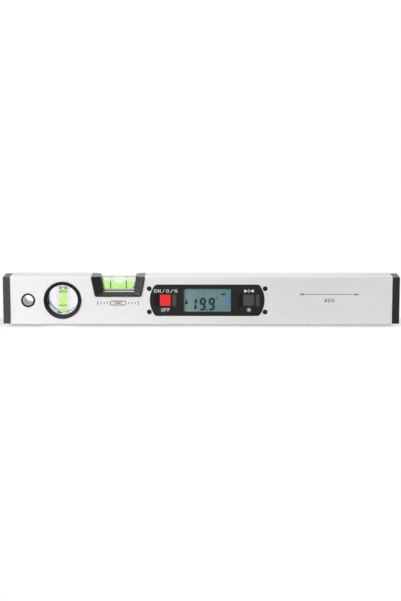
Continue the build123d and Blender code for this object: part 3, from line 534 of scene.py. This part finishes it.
class LEVEL_OT_dress_casing(bpy.types.Operator):
    """Finish the box section, the caps, the hanging hole, the frames, the panel and the buttons"""

    bl_idname = "level.dress_casing"
    bl_label = "Dress casing"

    def execute(self, context):
        tones = context.scene.level.colours
        grain, bands = (9.0, 2200.0, 2200.0), (2.5, 160.0, 160.0)
        # The box section carries painted light and shade on its faces
        satin = brushed_metal("satin_aluminium", tones.aluminium, 0.22, grain, bands, 0.34, self.painted_light_faces)
        dress(satin, "level_body")
        dress(self.tube(), "hanger_sleeve")
        # The two caps are one moulding in a lit and a shaded colour, as painted light from the left
        dress(moulded("left_cap_moulding", tones.left_cap_lit, 0.36), "left_end_cap")
        dress(moulded("right_cap_moulding", tones.right_cap_shaded, 0.36), "right_end_cap")
        rubber = moulded("grommet_rubber", (0.008, 0.008, 0.0085), 0.5, 0.4, level=0.25)
        dress(rubber, "hanger_grommet_front", "hanger_grommet_rear")
        vial_frame = moulded("frame_moulding", tones.moulding, 0.26, level=0.45, change=self.painted_lit_top)
        dress(vial_frame, "top_vial_frame")
        ring = moulded("ring_moulding", shaded(tones.moulding, 0.9), 0.5, level=0.15, change=self.painted_light_foot)
        dress(ring, "plumb_bezel_front", "plumb_bezel_rear")
        panel = moulded("panel_moulding", tones.panel, 0.28, 0.278, level=0.45, change=self.lit_slopes)
        dress(panel, "display_bezel")
        screws = brushed_metal("blackened_screw", (0.012, 0.012, 0.013), 0.2, 1500.0, 300.0, 0.4)
        dress(screws, "panel_screws", "tray_screws")
        dress(moulded("power_button", tones.power, 0.36, 0.35), "power_button")
        dress(moulded("hold_button", tones.hold, 0.4, 0.35), "hold_button")
        return {"FINISHED"}

    def painted_light_faces(self, finish, tone):
        """Painted light: lighter to the ends of the faces and in the top's middle, a painted highlight on
        the foot and the top's front lip, painted shade to the back of the top at the ends, faint darker
        stripes along the top, and warmer to the left and on top.
        """
        plain = bpy.context.scene.level.colours.aluminium
        x, y, z = finish.axes()
        top = (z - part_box("level_body")[1].z).rise(-0.3 * MM, -0.1 * MM)
        # Painted highlight along the foot of the faces
        foot = z.fall(0.7 * MM, 1.2 * MM)
        left = x.fall(-100 * MM, 30 * MM)
        # Painted light: the top lighter in its middle, where its stripes are fainter
        inner = x.rise(-130 * MM, -40 * MM) * x.fall(100 * MM, 190 * MM)
        # Painted light: lighter towards both ends of the faces
        ends = 0.75 * x.rise(100 * MM, 200 * MM) + 0.3 * x.fall(-30 * MM, 60 * MM)
        # Painted highlight on the top's front lip
        lip_highlight = y.fall(-10.5 * MM, -8.5 * MM)
        band = y.near(-4.3 * MM, 1.8 * MM, 3.6 * MM) * (1.0 - 0.65 * inner)
        # Painted shade to the back of the top, deepest at the ends
        back = y.rise(2.5 * MM, 5.5 * MM) * (0.2 + 0.8 * abs(x).rise(150 * MM, 185 * MM))
        paler = finish.blend((1.0 - top) * ends + 0.9 * top * inner, tone, shaded(plain, 1.1))
        bright = finish.blend(0.5 * top * lip_highlight + foot, paler, shaded(plain, 1.16))
        striped = finish.blend(top * (band + back), bright, shaded(plain, 0.89))
        return finish.blend(left.most(top), striped, (1.0, 0.978, 0.982), "MULTIPLY")

    def painted_lit_top(self, finish, tone):
        """Painted light: paler on the frame's top, where light falls from above."""
        # Painted light on the frame's top
        lit_top_face = (finish.axes()[2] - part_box("top_vial_frame")[1].z).rise(-0.5 * MM, -0.1 * MM)
        return finish.blend(lit_top_face, tone, (0.065, 0.063, 0.065))

    def painted_light_foot(self, finish, tone):
        """Painted light: paler towards the foot of the round bezels."""
        drop = middle("plumb_bezel_front").z - finish.axes()[2]
        # Painted light towards the bezels' foot
        return finish.blend(drop.rise(4.0 * MM, 16.0 * MM), tone, (0.04, 0.038, 0.043))

    def lit_slopes(self, finish, tone):
        """A little paler on the slope to the right of each button."""
        x, y, _ = finish.axes()
        sunk = (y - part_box("display_bezel")[0].y).rise(0.1 * MM, 0.3 * MM)
        for button in ("power_button", "hold_button"):
            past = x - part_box(button)[1].x
            slope = sunk * past.rise(0.0, 0.3 * MM) * past.fall(5.5 * MM, 6.0 * MM)
            tone = finish.blend(slope, tone, (0.036, 0.028, 0.024))
        return tone

    def tube(self):
        """Turned metal with grain round it, with painted shade: darker deep inside, paler towards its two
        ends.
        """
        finish = new_finish("turned_tube")
        grain = finish.noise((900.0, 3000.0, 900.0), detail=4.0, roughness=0.6)
        # Painted shade, darkest deep inside the hole and paler towards its two ends
        ends = abs(finish.axes()[1]).rise(2.0 * MM, 10.0 * MM)
        tone = finish.blend(ends, (0.15, 0.148, 0.15), (0.34, 0.335, 0.34))
        mixed = finish.blend(0.25 * grain, tone, (0.4, 0.4, 0.41))
        return finish.surface(mixed, 0.2 + 0.16 * grain, grain, 0.012 * MM, Metallic=0.85)


class LEVEL_OT_dress_vials(bpy.types.Operator):
    """Finish the vial blocks, plugs, lines and bubbles, the plumb vial's holder and the top vial's pad"""

    bl_idname = "level.dress_vials"
    bl_label = "Dress vials"

    def execute(self, context):
        plumb_block = clear("plumb_acrylic", (0.93, 0.93, 0.94), ACRYLIC_IOR, change=self.plumb_seat_shadow)
        dress(plumb_block, "plumb_vial_block")
        dress(clear("top_acrylic", (0.84, 0.91, 0.83), ACRYLIC_IOR, change=self.top_ends), "top_vial_block")
        plumb_oval, top_oval = (1.9 * MM, 1.1 * MM), (6.1 * MM, 4.0 * MM)
        # Both bubbles are painted as glowing ovals with dark rims
        plumb_air = glowing_bubble("plumb_bubble", (0.55, 0.5, 0.85), (0.01, 0.0, 0.09), plumb_oval, 0.3, 1.1)
        dress(plumb_air, "plumb_bubble")
        dress(glowing_bubble("top_bubble", (0.64, 0.44, 0.92), (0.05, 0.1, 0.06), top_oval, 0.7, 1.0), "top_bubble")
        dress(self.holder(), "plumb_holder")
        dress(self.pad(), "top_vial_pad")
        dress(clear("vial_plug", (0.93, 0.97, 0.9), PLUG_IOR, 0.2), "plumb_vial_plug", "top_vial_plug")
        dress(ink("vial_line", (0.004, 0.009, 0.003), level=0.05), "plumb_vial_lines", "top_vial_lines")
        return {"FINISHED"}

    def plumb_seat_shadow(self, finish, tone, inputs):
        """Half clear, with a painted shadow: a dark line on the front along the round seat of the foot, open
        at its middle.
        """
        low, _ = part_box("plumb_vial_block")
        x, y, z = finish.axes()
        aside = x - middle("plumb_vial_block").x
        seat_curve = 45.0
        above_seat = z - low.z - seat_curve * aside * aside
        front = (y - low.y).fall(0.05 * MM, 0.1 * MM)
        # Painted shadow of the seat under the block
        line = front * above_seat.near(0.0, 0.7 * MM, 1.1 * MM) * abs(aside).rise(0.6 * MM, 1.8 * MM)
        depth = line * (1.0 - 0.45 * aside.rise(0.0, 1.0 * MM))
        inputs["Alpha"] = 0.5 + 0.5 * depth
        return finish.blend(depth, tone, (0.02, 0.02, 0.022))

    def top_ends(self, finish, tone, inputs):
        """Deep green at the leaning left end and along the foot, with a painted highlight: a glowing bright
        line on the foot's edge.
        """
        low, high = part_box("top_vial_block")
        x, y, z = finish.axes()
        lean = (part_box("top_vial_pad")[0].x - low.x) / (high.z - low.z)
        inward = x - low.x - lean * (high.z - z)
        height = z - low.z
        footed = finish.blend(height.fall(1.2 * MM, 3.3 * MM), tone, (0.27, 0.33, 0.2))
        # Painted highlight: a glowing line along the front edge of the foot
        edge = y.fall(-6.95 * MM, -6.9 * MM) * height.near(0.8 * MM, 0.22 * MM, 0.36 * MM)
        shown = edge * inward.rise(1.2 * MM, 2.4 * MM)
        inputs["Emission_Color"] = finish.blend(shown, BLACK, (0.85, 0.93, 0.76))
        inputs["Emission_Strength"] = 0.98
        return finish.blend(inward.fall(0.3 * MM, 2.6 * MM), footed, (0.02, 0.05, 0.015))

    def holder(self):
        """Milky moulding, with painted shade that darkens it above and at the front, a faint painted glow,
        and a faint seam.
        """
        finish = new_finish("holder_moulding")
        _, y, z = finish.axes()
        drop = middle("plumb_holder").z - z
        # Painted shade: dark above and at the front, milky and lit below and behind
        pale = drop.rise(5.0 * MM, 9.0 * MM).most(y.rise(3.0 * MM, 5.0 * MM))
        seam = y.near(3.4 * MM, 0.5 * MM, 1.1 * MM)
        cloud = finish.noise(300.0, detail=3.0)
        milky = finish.blend(cloud, (0.66, 0.66, 0.68), (0.74, 0.74, 0.75))
        dark = (0.02, 0.019, 0.023)
        tone = finish.blend(0.15 * seam, finish.blend(pale, dark, milky), dark)
        # Painted light: the holder glows faintly in its own colour
        glow = {"Specular_IOR_Level": 0.0, "Emission_Color": tone, "Emission_Strength": 0.6}
        return finish.surface(tone, 0.4 + 0.2 * cloud, cloud, 0.01 * MM, **glow)

    def pad(self):
        """Pad dark green below as painted shade, its two rails cream on top as a painted highlight, all with
        a faint painted glow.
        """
        finish = new_finish("vial_pad")
        speckle = finish.noise(900.0)
        _, y, z = finish.axes()
        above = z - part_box("top_vial_pad")[1].z
        # Painted highlight on top of the rails
        rail_highlight = abs(y).rise(6.9 * MM, 7.1 * MM) * above.rise(-0.35 * MM, -0.15 * MM)
        cream = finish.blend(speckle, (0.36, 0.39, 0.31), (0.42, 0.45, 0.37))
        tone = finish.blend(rail_highlight, (0.02, 0.03, 0.015), cream)
        # Painted light: the pad glows faintly
        return finish.surface(tone, 0.45 + 0.1 * speckle, Emission_Color=tone, Emission_Strength=0.25)


class LEVEL_OT_fill_vials(bpy.types.Operator):
    """Fill both vials with a full column of liquid, in which the bubbles travel"""

    bl_idname = "level.fill_vials"
    bl_label = "Fill vials"

    # How far the liquid wets the bore past the CAD liquid
    wet = 0.07 * MM

    def execute(self, context):
        tone = context.scene.level.colours.liquid
        low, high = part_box("top_vial_lines")
        half_line = 0.28 * MM
        top = glowing("top_liquid", tone, 0.365, (low.x + half_line, high.x - half_line))
        plumb = glowing("plumb_liquid", tone, 0.325)
        top_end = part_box("top_vial_liquid")[1].x
        plumb_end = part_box("plumb_bubble")[1].z + self.wet
        lying = [(self.column("top_vial_liquid", 0, top_end, 0.0, 0.2 * MM), False)]
        upright = [(self.column("plumb_vial_liquid", 2, plumb_end, 0.5 * MM, 2.0 * MM), False)]
        build_piece("top_liquid", lying, top, "level", ("top_vial_liquid",), True)
        build_piece("plumb_liquid", upright, plumb, "level", ("plumb_vial_liquid",), True)
        return {"FINISHED"}

    def column(self, node, axis, far, rim, dome):
        """Turn a column from the node's low end to far along an axis.

        The low end is a dome: along = low + dome (1 - cos t) and radius = (bore - rim) sin t.
        The far edge is round: along = far - edge (1 - cos t) and radius = bore - edge (1 - sin t).
        """
        low, high = (np.array(corner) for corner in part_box(node))
        centre = (low + high) / 2
        centre[axis] = 0.0
        bore = (high[1] - low[1]) / 2 + self.wet
        edge, tight = 0.6 * MM, 0.05 * MM
        turn = np.linspace(0.04, np.pi / 2, 16)
        first = low[axis] + dome * (1.0 - np.cos(turn))
        last = far - edge * (1.0 - np.cos(turn))
        base = np.stack([(bore - rim) * np.sin(turn), first], 1)
        wall = np.stack([np.full(3, bore), [first[-1], first[-1] + tight, last[-1] - tight]], 1)
        crown = np.stack([bore - edge * (1.0 - np.sin(turn)), last], 1)[::-1]
        return turned(np.concatenate([base, wall, crown]), centre, np.eye(3)[axis])


class LEVEL_OT_glaze_window(bpy.types.Operator):
    """Set a thin clear pane in the holder, behind the plumb vial"""

    bl_idname = "level.glaze_window"
    bl_label = "Glaze window"

    def execute(self, context):
        centre = middle("plumb_holder")
        clearance, thickness, radius = 0.3 * MM, 0.8 * MM, 15.2 * MM
        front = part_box("plumb_vial_block")[1].y + clearance
        profile = [(radius, front), (radius, front + thickness)]
        disc = turned(profile, (centre.x, 0.0, centre.z), (0.0, 1.0, 0.0))
        build_piece("plumb_window", [(disc, False)], self.pane(), "level")
        return {"FINISHED"}

    def pane(self):
        """Faintly tinted, with a trace of sheen."""
        finish = new_finish("window_pane")
        flow = finish.noise(160.0)
        sheen = finish.principled(finish.blend(flow, (0.3, 0.3, 0.31), (0.36, 0.36, 0.37)), 0.3 + 0.1 * flow)
        tinted = finish.node("ShaderNodeBsdfTransparent", {}, {"Color": (0.963, 0.947, 0.968, 1.0)})
        return finish.close(finish.node("ShaderNodeMixShader", {}, {0: 0.008 * flow, 1: tinted, 2: sheen}))


class LEVEL_OT_dress_display(bpy.types.Operator):
    """Finish the window, the display glass and what lies behind it"""

    bl_idname = "level.dress_display"
    bl_label = "Dress display"

    def execute(self, context):
        dress(self.lens(), "display_lens")
        dress(self.glass(context.scene.level.colours.glass), "lcd_glass")
        dress(moulded("light_guide", (0.84, 0.86, 0.85), 0.3, 0.5), "lcd_backlight")
        dress(moulded("strip_rubber", (0.3, 0.3, 0.3), 0.6), "contact_strips")
        dress(moulded("board_laminate", (0.02, 0.16, 0.06), 0.35, 0.9), "circuit_board")
        can = brushed_metal("sensor_can", (0.7, 0.7, 0.7), 0.9, (400.0, 400.0, 2200.0), 90.0, 0.3)
        dress(can, "tilt_sensor")
        dress(moulded("chip_package", (0.02, 0.02, 0.021), 0.55), "controller_chip")
        dress(brushed_metal("plated_screw", (0.72, 0.71, 0.67), 0.9, 900.0, 200.0, 0.25), "board_screws")
        dress(moulded("switch_body", (0.03, 0.03, 0.032), 0.5), "power_switch", "hold_switch")
        dress(moulded("switch_plunger", (0.05, 0.05, 0.052), 0.4), "power_plunger", "hold_plunger")
        return {"FINISHED"}

    def lens(self):
        """Almost clear window with a slight haze."""
        finish = new_finish("window_lens")
        haze = finish.noise(500.0)
        tint = finish.blend(haze, (0.5, 0.56, 0.56), (0.56, 0.62, 0.62))
        return finish.surface(tint, 0.06 + 0.04 * haze, haze, 0.002 * MM, Alpha=0.02)

    def glass(self, plain):
        """Grey green pane with painted light: paler to the left, foot and head, and a painted blue glow of a
        lamp behind its right edge.
        """
        finish = new_finish("display_glass")
        x, _, z = finish.axes()
        drift = finish.noise(60.0)
        grain = finish.noise(3000.0, detail=1.0)
        tone = finish.blend(0.6 * drift + 0.4 * grain, shaded(plain, 0.94), shaded(plain, 1.06))
        low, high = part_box("display_lens")
        hidden = 1.8 * MM
        inward = x - (low.x + hidden)
        left, broad = inward.fall(0.0, 20.0 * MM), inward.fall(0.0, 36.0 * MM)
        foot = (z - (low.z + hidden)).fall(0.0, 2.2 * MM)
        head = (z - (high.z - hidden)).rise(-2.4 * MM, 0.0)
        lower = (z - low.z).fall(6.0 * MM, 16.0 * MM)
        # Painted light: paler to the left, foot and head of the pane
        paler = left * (0.18 + 0.1 * lower) + foot * (0.22 + 0.3 * broad) + 0.1 * head
        painted_edge_light = finish.blend(paler, tone, (0.42, 0.53, 0.5))
        centre = middle("lcd_glass")
        lamp_glow_z = centre.z + 0.6 * MM
        # Painted light: the glow of a blue lamp behind the right edge, in the colour
        lamp = (x - centre.x).rise(17.6 * MM, 21.4 * MM) * z.near(lamp_glow_z, 3.6 * MM, 5.6 * MM)
        lit = finish.blend(0.85 * lamp, painted_edge_light, (0.083, 0.212, 0.5))
        return finish.surface(lit, 0.32 + 0.08 * drift, grain, 0.003 * MM)


class LEVEL_OT_show_reading(bpy.types.Operator):
    """Show an angle: slanted seven-segment digits, a point, a degree ring, an arrow and a bar"""

    bl_idname = "level.show_reading"
    bl_label = "Show reading"

    def execute(self, context):
        sizes = context.scene.level.sizes
        centre = middle("lcd_glass")
        foot = centre.z - 11.0 * MM
        strokes = self.number(sizes, centre.x, foot)
        strokes += self.signs(np.array([centre.x, centre.z]), foot + sizes.digit_height)
        face_y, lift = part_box("lcd_glass")[0].y, -0.05 * MM
        grids = [(ribbon(path, width, face_y, lift, looped), looped) for path, looped, width in strokes]
        dark = ink("display_segment", context.scene.level.colours.digits, 0.5, 0.05)
        build_piece("reading", grids, dark, "level")
        return {"FINISHED"}

    def number(self, sizes, middle_x, foot):
        """Three slanted digits, with a point before the last: (path, looped, width) each."""
        placed = []
        for lit, offset in (("bc", -17.4), ("abcdfg", -8.3), ("abcdfg", 0.8)):
            x = middle_x + offset * MM
            placed += digit_segments(lit, x, foot, sizes.digit_width, sizes.digit_height, sizes.digit_stroke)
        point_x, point_half = middle_x - 1.0 * MM, 0.9 * MM
        point_ends = [(point_x + side * point_half, foot + point_half) for side in (-1, 1)]
        placed.append(segment(*point_ends, 2 * point_half))
        slant = 0.07
        strokes = []
        for path, widths in placed:
            lean = np.stack([slant * (path[:, 1] - foot), np.zeros(len(path))], axis=1)
            strokes.append((path + lean, False, widths))
        return strokes

    def signs(self, centre, head):
        """A degree ring at the digits' head, an arrow and a short bar: (path, looped, width) each."""
        ring_half, ring_stroke = 0.7 * MM, 0.45 * MM
        ring = oval((centre[0] + 9.8 * MM, head - 0.5 * MM), ring_half, ring_half, count=24)
        arrow = np.array([[-20.9, 1.0], [-20.9, -3.4], [-20.9, -4.3]]) * MM + centre
        arrow_widths = np.array([0.1, 3.0, 3.0]) * MM
        short_bar, bar_stroke = bar((14.2, 5.8), (18.5, 5.8)) * MM + centre, 1.6 * MM
        return [(ring, True, ring_stroke), (arrow, False, arrow_widths), (short_bar, False, bar_stroke)]


class LEVEL_OT_print_panel(bpy.types.Operator):
    """Print ON, OFF, a zero and a per cent sign at the red button, and two plain signs at the grey one"""

    bl_idname = "level.print_panel"
    bl_label = "Print panel"

    def execute(self, context):
        sizes = context.scene.level.sizes
        red, grey = middle("power_button"), middle("hold_button")
        height, stroke = sizes.letter_height, sizes.letter_stroke
        upper, lower = red.z + 7.7 * MM, red.z - 11.6 * MM
        strokes = word("ON/0/%", red.x, upper, 2.75 * MM, 1.4 * MM, height, stroke)
        strokes += word("OFF", red.x, lower, 2.3 * MM, 0.85 * MM, height, stroke)
        strokes += self.stop_sign(grey.x, upper, height)
        strokes += self.sun_sign(np.array([grey.x, lower + height / 2]))
        grids = printed(strokes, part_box("display_bezel")[0].y, sizes.print_height)
        white = ink("panel_ink", context.scene.level.colours.panel_print)
        build_piece("panel_print", grids, white, "level")
        return {"FINISHED"}

    def stop_sign(self, x, z, height):
        """Two arrowheads that point at an upright bar."""
        strokes = [(bar((x, z), (x, z + height)), False, 0.7 * MM)]
        back, tip = 4.8 * MM, 1.1 * MM
        head_width = np.array([3.4, 0.2]) * MM
        for side in (-1, 1):
            head = bar((x + side * back, z + height / 2), (x + side * tip, z + height / 2))
            strokes.append((head, False, head_width))
        return strokes

    def sun_sign(self, centre):
        """A disc with eight rays."""
        disc_half, disc_stroke = 0.5 * MM, 0.98 * MM
        strokes = [(oval(centre, disc_half, disc_half, count=32), True, disc_stroke)]
        ray_ends, ray_stroke = np.array([1.4, 2.2]) * MM, 0.46 * MM
        for turn in np.arange(8) * np.pi / 4:
            ray = centre + ray_ends[:, None] * np.array([np.cos(turn), np.sin(turn)])
            strokes.append((ray, False, ray_stroke))
        return strokes


class LEVEL_OT_mark_face(bpy.types.Operator):
    """Print a vial sign under the top vial, and the length with its dimension line at the right"""

    bl_idname = "level.mark_face"
    bl_label = "Mark face"

    def execute(self, context):
        sizes = context.scene.level.sizes
        half, stroke = sizes.mark_height / 2, sizes.mark_stroke
        strokes = self.vial_sign(middle("top_vial_block").x, 21.2 * MM, half, stroke)
        left, right = 100.0 * MM, 158.0 * MM
        strokes += self.dimension_line(left, right, 30.2 * MM, half, stroke)
        strokes += word("400", (left + right) / 2, 22.0 * MM, 2.5 * MM, 1.2 * MM, 3.6 * MM, 0.85 * stroke)
        grids = printed(strokes, FACE_Y, sizes.print_height)
        dark = ink("face_ink", context.scene.level.colours.face_print)
        build_piece("face_print", grids, dark, "level")
        return {"FINISHED"}

    def vial_sign(self, x, z, half, stroke):
        """A vial with its bubble and two lines, and four ticks to each side, the last one taller."""
        strokes = [(oval((x, z), 8.0 * MM, half, 5.0, 64), True, stroke)]
        strokes.append((oval((x, z + 0.2 * MM), 1.7 * MM, 0.4 * half, 2.4, 32), True, stroke))
        line_offset, first_tick, tick_step = 3.2 * MM, 10.8 * MM, 3.2 * MM
        short = 0.55 * half
        places = [(line_offset, half)]
        for at, reach in enumerate((short, short, short, half)):
            places.append((first_tick + at * tick_step, reach))
        for side in (-1, 1):
            for offset, reach in places:
                mark_x = x + side * offset
                strokes.append((bar((mark_x, z - reach), (mark_x, z + reach)), False, stroke))
        return strokes

    def dimension_line(self, left, right, z, half, stroke):
        """A thin line with an arrowhead and a stop at each end."""
        tip, stop = 3.2 * MM, 0.6 * half
        head_width = np.array([0.1, 2.0]) * MM
        strokes = [(bar((left + tip, z), (right - tip, z)), False, 0.6 * stroke)]
        for end, inward in ((left, 1.0), (right, -1.0)):
            strokes.append((bar((end, z), (end + inward * tip, z)), False, head_width))
            strokes.append((bar((end, z - stop), (end, z + stop)), False, 0.7 * stroke))
        return strokes


class LEVEL_OT_dress_battery(bpy.types.Operator):
    """Finish the battery tray, its door, the cells and their contacts"""

    bl_idname = "level.dress_battery"
    bl_label = "Dress battery"

    def execute(self, context):
        tones = context.scene.level.colours
        dress(moulded("tray_moulding", tones.moulding, 0.4), "battery_tray")
        dress(moulded("door_moulding", shaded(tones.moulding, 2.2), 0.42), "battery_door")
        for node, side in (("battery_cell_upper", 1.0), ("battery_cell_lower", -1.0)):
            dress(self.jacket(node, side), node)
        plated = brushed_metal("contact_metal", (0.76, 0.74, 0.7), 0.9, 700.0, 150.0, 0.22)
        dress(plated, "battery_terminals", "battery_link")
        return {"FINISHED"}

    def jacket(self, node, side):
        """Black and copper sleeve of a cell that points to a side, with bare steel at both ends."""
        finish = new_finish(node + "_jacket")
        along = side * (finish.axes()[0] - middle(node).x)
        scuff = finish.noise(600.0, detail=3.0)
        copper = along.rise(9.5 * MM, 9.7 * MM)
        sleeve = finish.blend(copper, (0.02, 0.022, 0.026), (0.72, 0.36, 0.12))
        steel = finish.blend(scuff, (0.62, 0.62, 0.6), (0.74, 0.73, 0.7))
        bare = abs(along).rise(21.2 * MM, 21.3 * MM)
        mixed = finish.blend(bare, sleeve, steel)
        return finish.surface(mixed, 0.24 + 0.16 * scuff, scuff, 0.004 * MM, Metallic=bare)


class LEVEL_OT_mark_door(bpy.types.Operator):
    """Print a pale arrow on the battery door"""

    bl_idname = "level.mark_door"
    bl_label = "Mark door"

    def execute(self, context):
        low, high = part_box("battery_door")
        from_edge, lift = 12.0 * MM, 0.2 * MM
        at = np.array([high.x - from_edge, (low.z + high.z) / 2])
        stem = bar((-3.4, 0.0), (0.6, 0.0)) * MM + at
        head = bar((0.6, 0.0), (3.2, 0.0)) * MM + at
        strokes = ((stem, 1.1 * MM), (head, np.array([3.6, 0.15]) * MM))
        grids = [(ribbon(path, width, high.y, lift), False) for path, width in strokes]
        pale = ink("door_ink", (0.42, 0.42, 0.43))
        build_piece("door_arrow", grids, pale, "rear_door")
        return {"FINISHED"}


class LEVEL_OT_set_studio(bpy.types.Operator):
    """Set the floor, the soft lights, the white surround and the camera"""

    bl_idname = "level.set_studio"
    bl_label = "Set studio"

    def execute(self, context):
        scene = context.scene
        studio = scene.level.studio
        scene.view_settings.view_transform = "Standard"
        self.floor()
        self.surround(scene, studio.surround)
        self.lamp("key_light", (-0.78, -0.74, 0.56), (-0.1, 0.0, 0.03), 0.68, studio.key_power)
        self.lamp("top_light", (0.0, 0.1, 1.2), (0.0, 0.0, 0.0), 1.0, studio.top_power)
        self.camera(scene, studio)
        return {"FINISHED"}

    def camera(self, scene, studio):
        """A camera in front of the level that looks a little down."""
        data = bpy.data.cameras.new("camera")
        data.lens = studio.lens
        data.sensor_width = 36.0
        camera = add_object("camera", data)
        camera.location = studio.camera_place
        camera.rotation_euler = (math.pi / 2 - studio.tilt, 0.0, -studio.pan)
        scene.camera = camera

    def floor(self):
        """A pale plane just under the level that fades into the surround."""
        half, drop = 2.0, -0.2 * MM
        corners = [(-half, -half, drop), (half, -half, drop), (half, half, drop), (-half, half, drop)]
        mesh = bpy.data.meshes.new("floor")
        mesh.from_pydata(corners, [], [(0, 1, 2, 3)])
        mesh.materials.append(self.floor_paint())
        plane = add_object("floor", mesh)

    def floor_paint(self):
        """White with a soft shadow where it is seen, pale as a surface, open to reflections and far away."""
        paint = new_finish("floor")
        rays = ("Is Camera Ray", "Is Transmission Ray", "Is Glossy Ray")
        direct, through, mirrored = paint.outputs("ShaderNodeLightPath", rays)
        x, y, _ = paint.axes()
        reach = {"Distance": 24.5 * MM}
        open_sky = paint.node("ShaderNodeAmbientOcclusion", {"samples": 16}, reach, output="AO")
        past_caps = abs(x).rise(189 * MM, 196 * MM)
        lit = open_sky.rise(0.74, 0.97).most(0.6 * past_caps)
        shade = paint.blend(lit, (0.53, 0.53, 0.53), WHITE)
        pale = paint.node("ShaderNodeBsdfDiffuse", {}, {"Color": (0.9, 0.9, 0.9, 1.0)})
        white = paint.node("ShaderNodeEmission", {}, {"Color": shade, "Strength": 1.0})
        lifted = paint.node("ShaderNodeMixShader", {}, {0: direct.most(through), 1: pale, 2: white})
        away = (0.35 * x * x + y * y).rise(0.02, 0.16)
        open_air = paint.node("ShaderNodeBsdfTransparent")
        mixed = paint.node("ShaderNodeMixShader", {}, {0: away.most(mirrored), 1: lifted, 2: open_air})
        return paint.close(mixed)

    def surround(self, scene, strength):
        """White to the camera and through clear pieces, a studio to reflections, and softer as a light."""
        scene.world = bpy.data.worlds.new("surround")
        air = Finish(scene.world)
        rays = ("Is Camera Ray", "Is Glossy Ray", "Is Transmission Ray")
        seen, mirrored, through = air.outputs("ShaderNodeLightPath", rays)
        direction = air.node("ShaderNodeTexCoord", output="Generated")
        x, y, z = air.outputs("ShaderNodeSeparateXYZ", "XYZ", {"Vector": direction})
        # In front, the studio grows brighter to the left; its floor is dark
        to_left = (0.0 - x).most(-0.14)
        to_front = (0.0 - y).rise(0.2, 0.8)
        above_floor = z.rise(-0.7, -0.3)
        studio = (1.0 + to_front * (1.7 * to_left - 0.58)) * (0.25 + 0.75 * above_floor)
        brightest = 2.2
        soft, dark, bright, plain = (
            air.node("ShaderNodeBackground", {}, {"Color": (*WHITE, 1.0), "Strength": level})
            for level in (strength, 0.0, brightest, 1.0)
        )
        walls = air.node("ShaderNodeMixShader", {}, {0: studio * (1.0 / brightest), 1: dark, 2: bright})
        light = air.node("ShaderNodeMixShader", {}, {0: mirrored, 1: soft, 2: walls})
        mixed = air.node("ShaderNodeMixShader", {}, {0: seen.most(through), 1: light, 2: plain})
        air.close(mixed, "ShaderNodeOutputWorld")

    def lamp(self, name, place, aim, size, power):
        """A square soft light at a place, turned to its aim."""
        data = bpy.data.lights.new(name, "AREA")
        data.shape = "SQUARE"
        data.size = size
        data.energy = power
        lamp = add_object(name, data)
        lamp.location = place
        lamp.rotation_euler = (Vector(aim) - Vector(place)).to_track_quat("-Z", "Y").to_euler()


OPERATORS = (
    LEVEL_OT_dress_casing,
    LEVEL_OT_dress_vials,
    LEVEL_OT_fill_vials,
    LEVEL_OT_glaze_window,
    LEVEL_OT_dress_display,
    LEVEL_OT_show_reading,
    LEVEL_OT_print_panel,
    LEVEL_OT_mark_face,
    LEVEL_OT_dress_battery,
    LEVEL_OT_mark_door,
    LEVEL_OT_set_studio,
)


class VIEW3D_PT_level(bpy.types.Panel):
    """The level's settings and steps"""

    bl_idname = "VIEW3D_PT_level"
    bl_label = "Spirit level"
    bl_space_type = "VIEW_3D"
    bl_region_type = "UI"
    bl_category = "Spirit level"

    def draw(self, context):
        settings = context.scene.level
        for group in (settings.colours, settings.sizes, settings.studio):
            box = self.layout.box()
            for name in group.__annotations__:
                box.prop(group, name)
        for operator in OPERATORS:
            self.layout.operator(operator.bl_idname)


CLASSES = (LevelColours, LevelSizes, LevelStudio, LevelSettings, *OPERATORS, VIEW3D_PT_level)


def register():
    """Add the level's classes and its settings."""
    for made in CLASSES:
        bpy.utils.register_class(made)
    bpy.types.Scene.level = PointerProperty(type=LevelSettings)


def unregister():
    """Take the level's settings and classes away again."""
    del bpy.types.Scene.level
    for made in reversed(CLASSES):
        bpy.utils.unregister_class(made)


def main():
    """Register the level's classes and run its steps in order."""
    register()
    for operator in OPERATORS:
        group, name = operator.bl_idname.split(".")
        getattr(getattr(bpy.ops, group), name)()


if __name__ == "__main__":
    main()
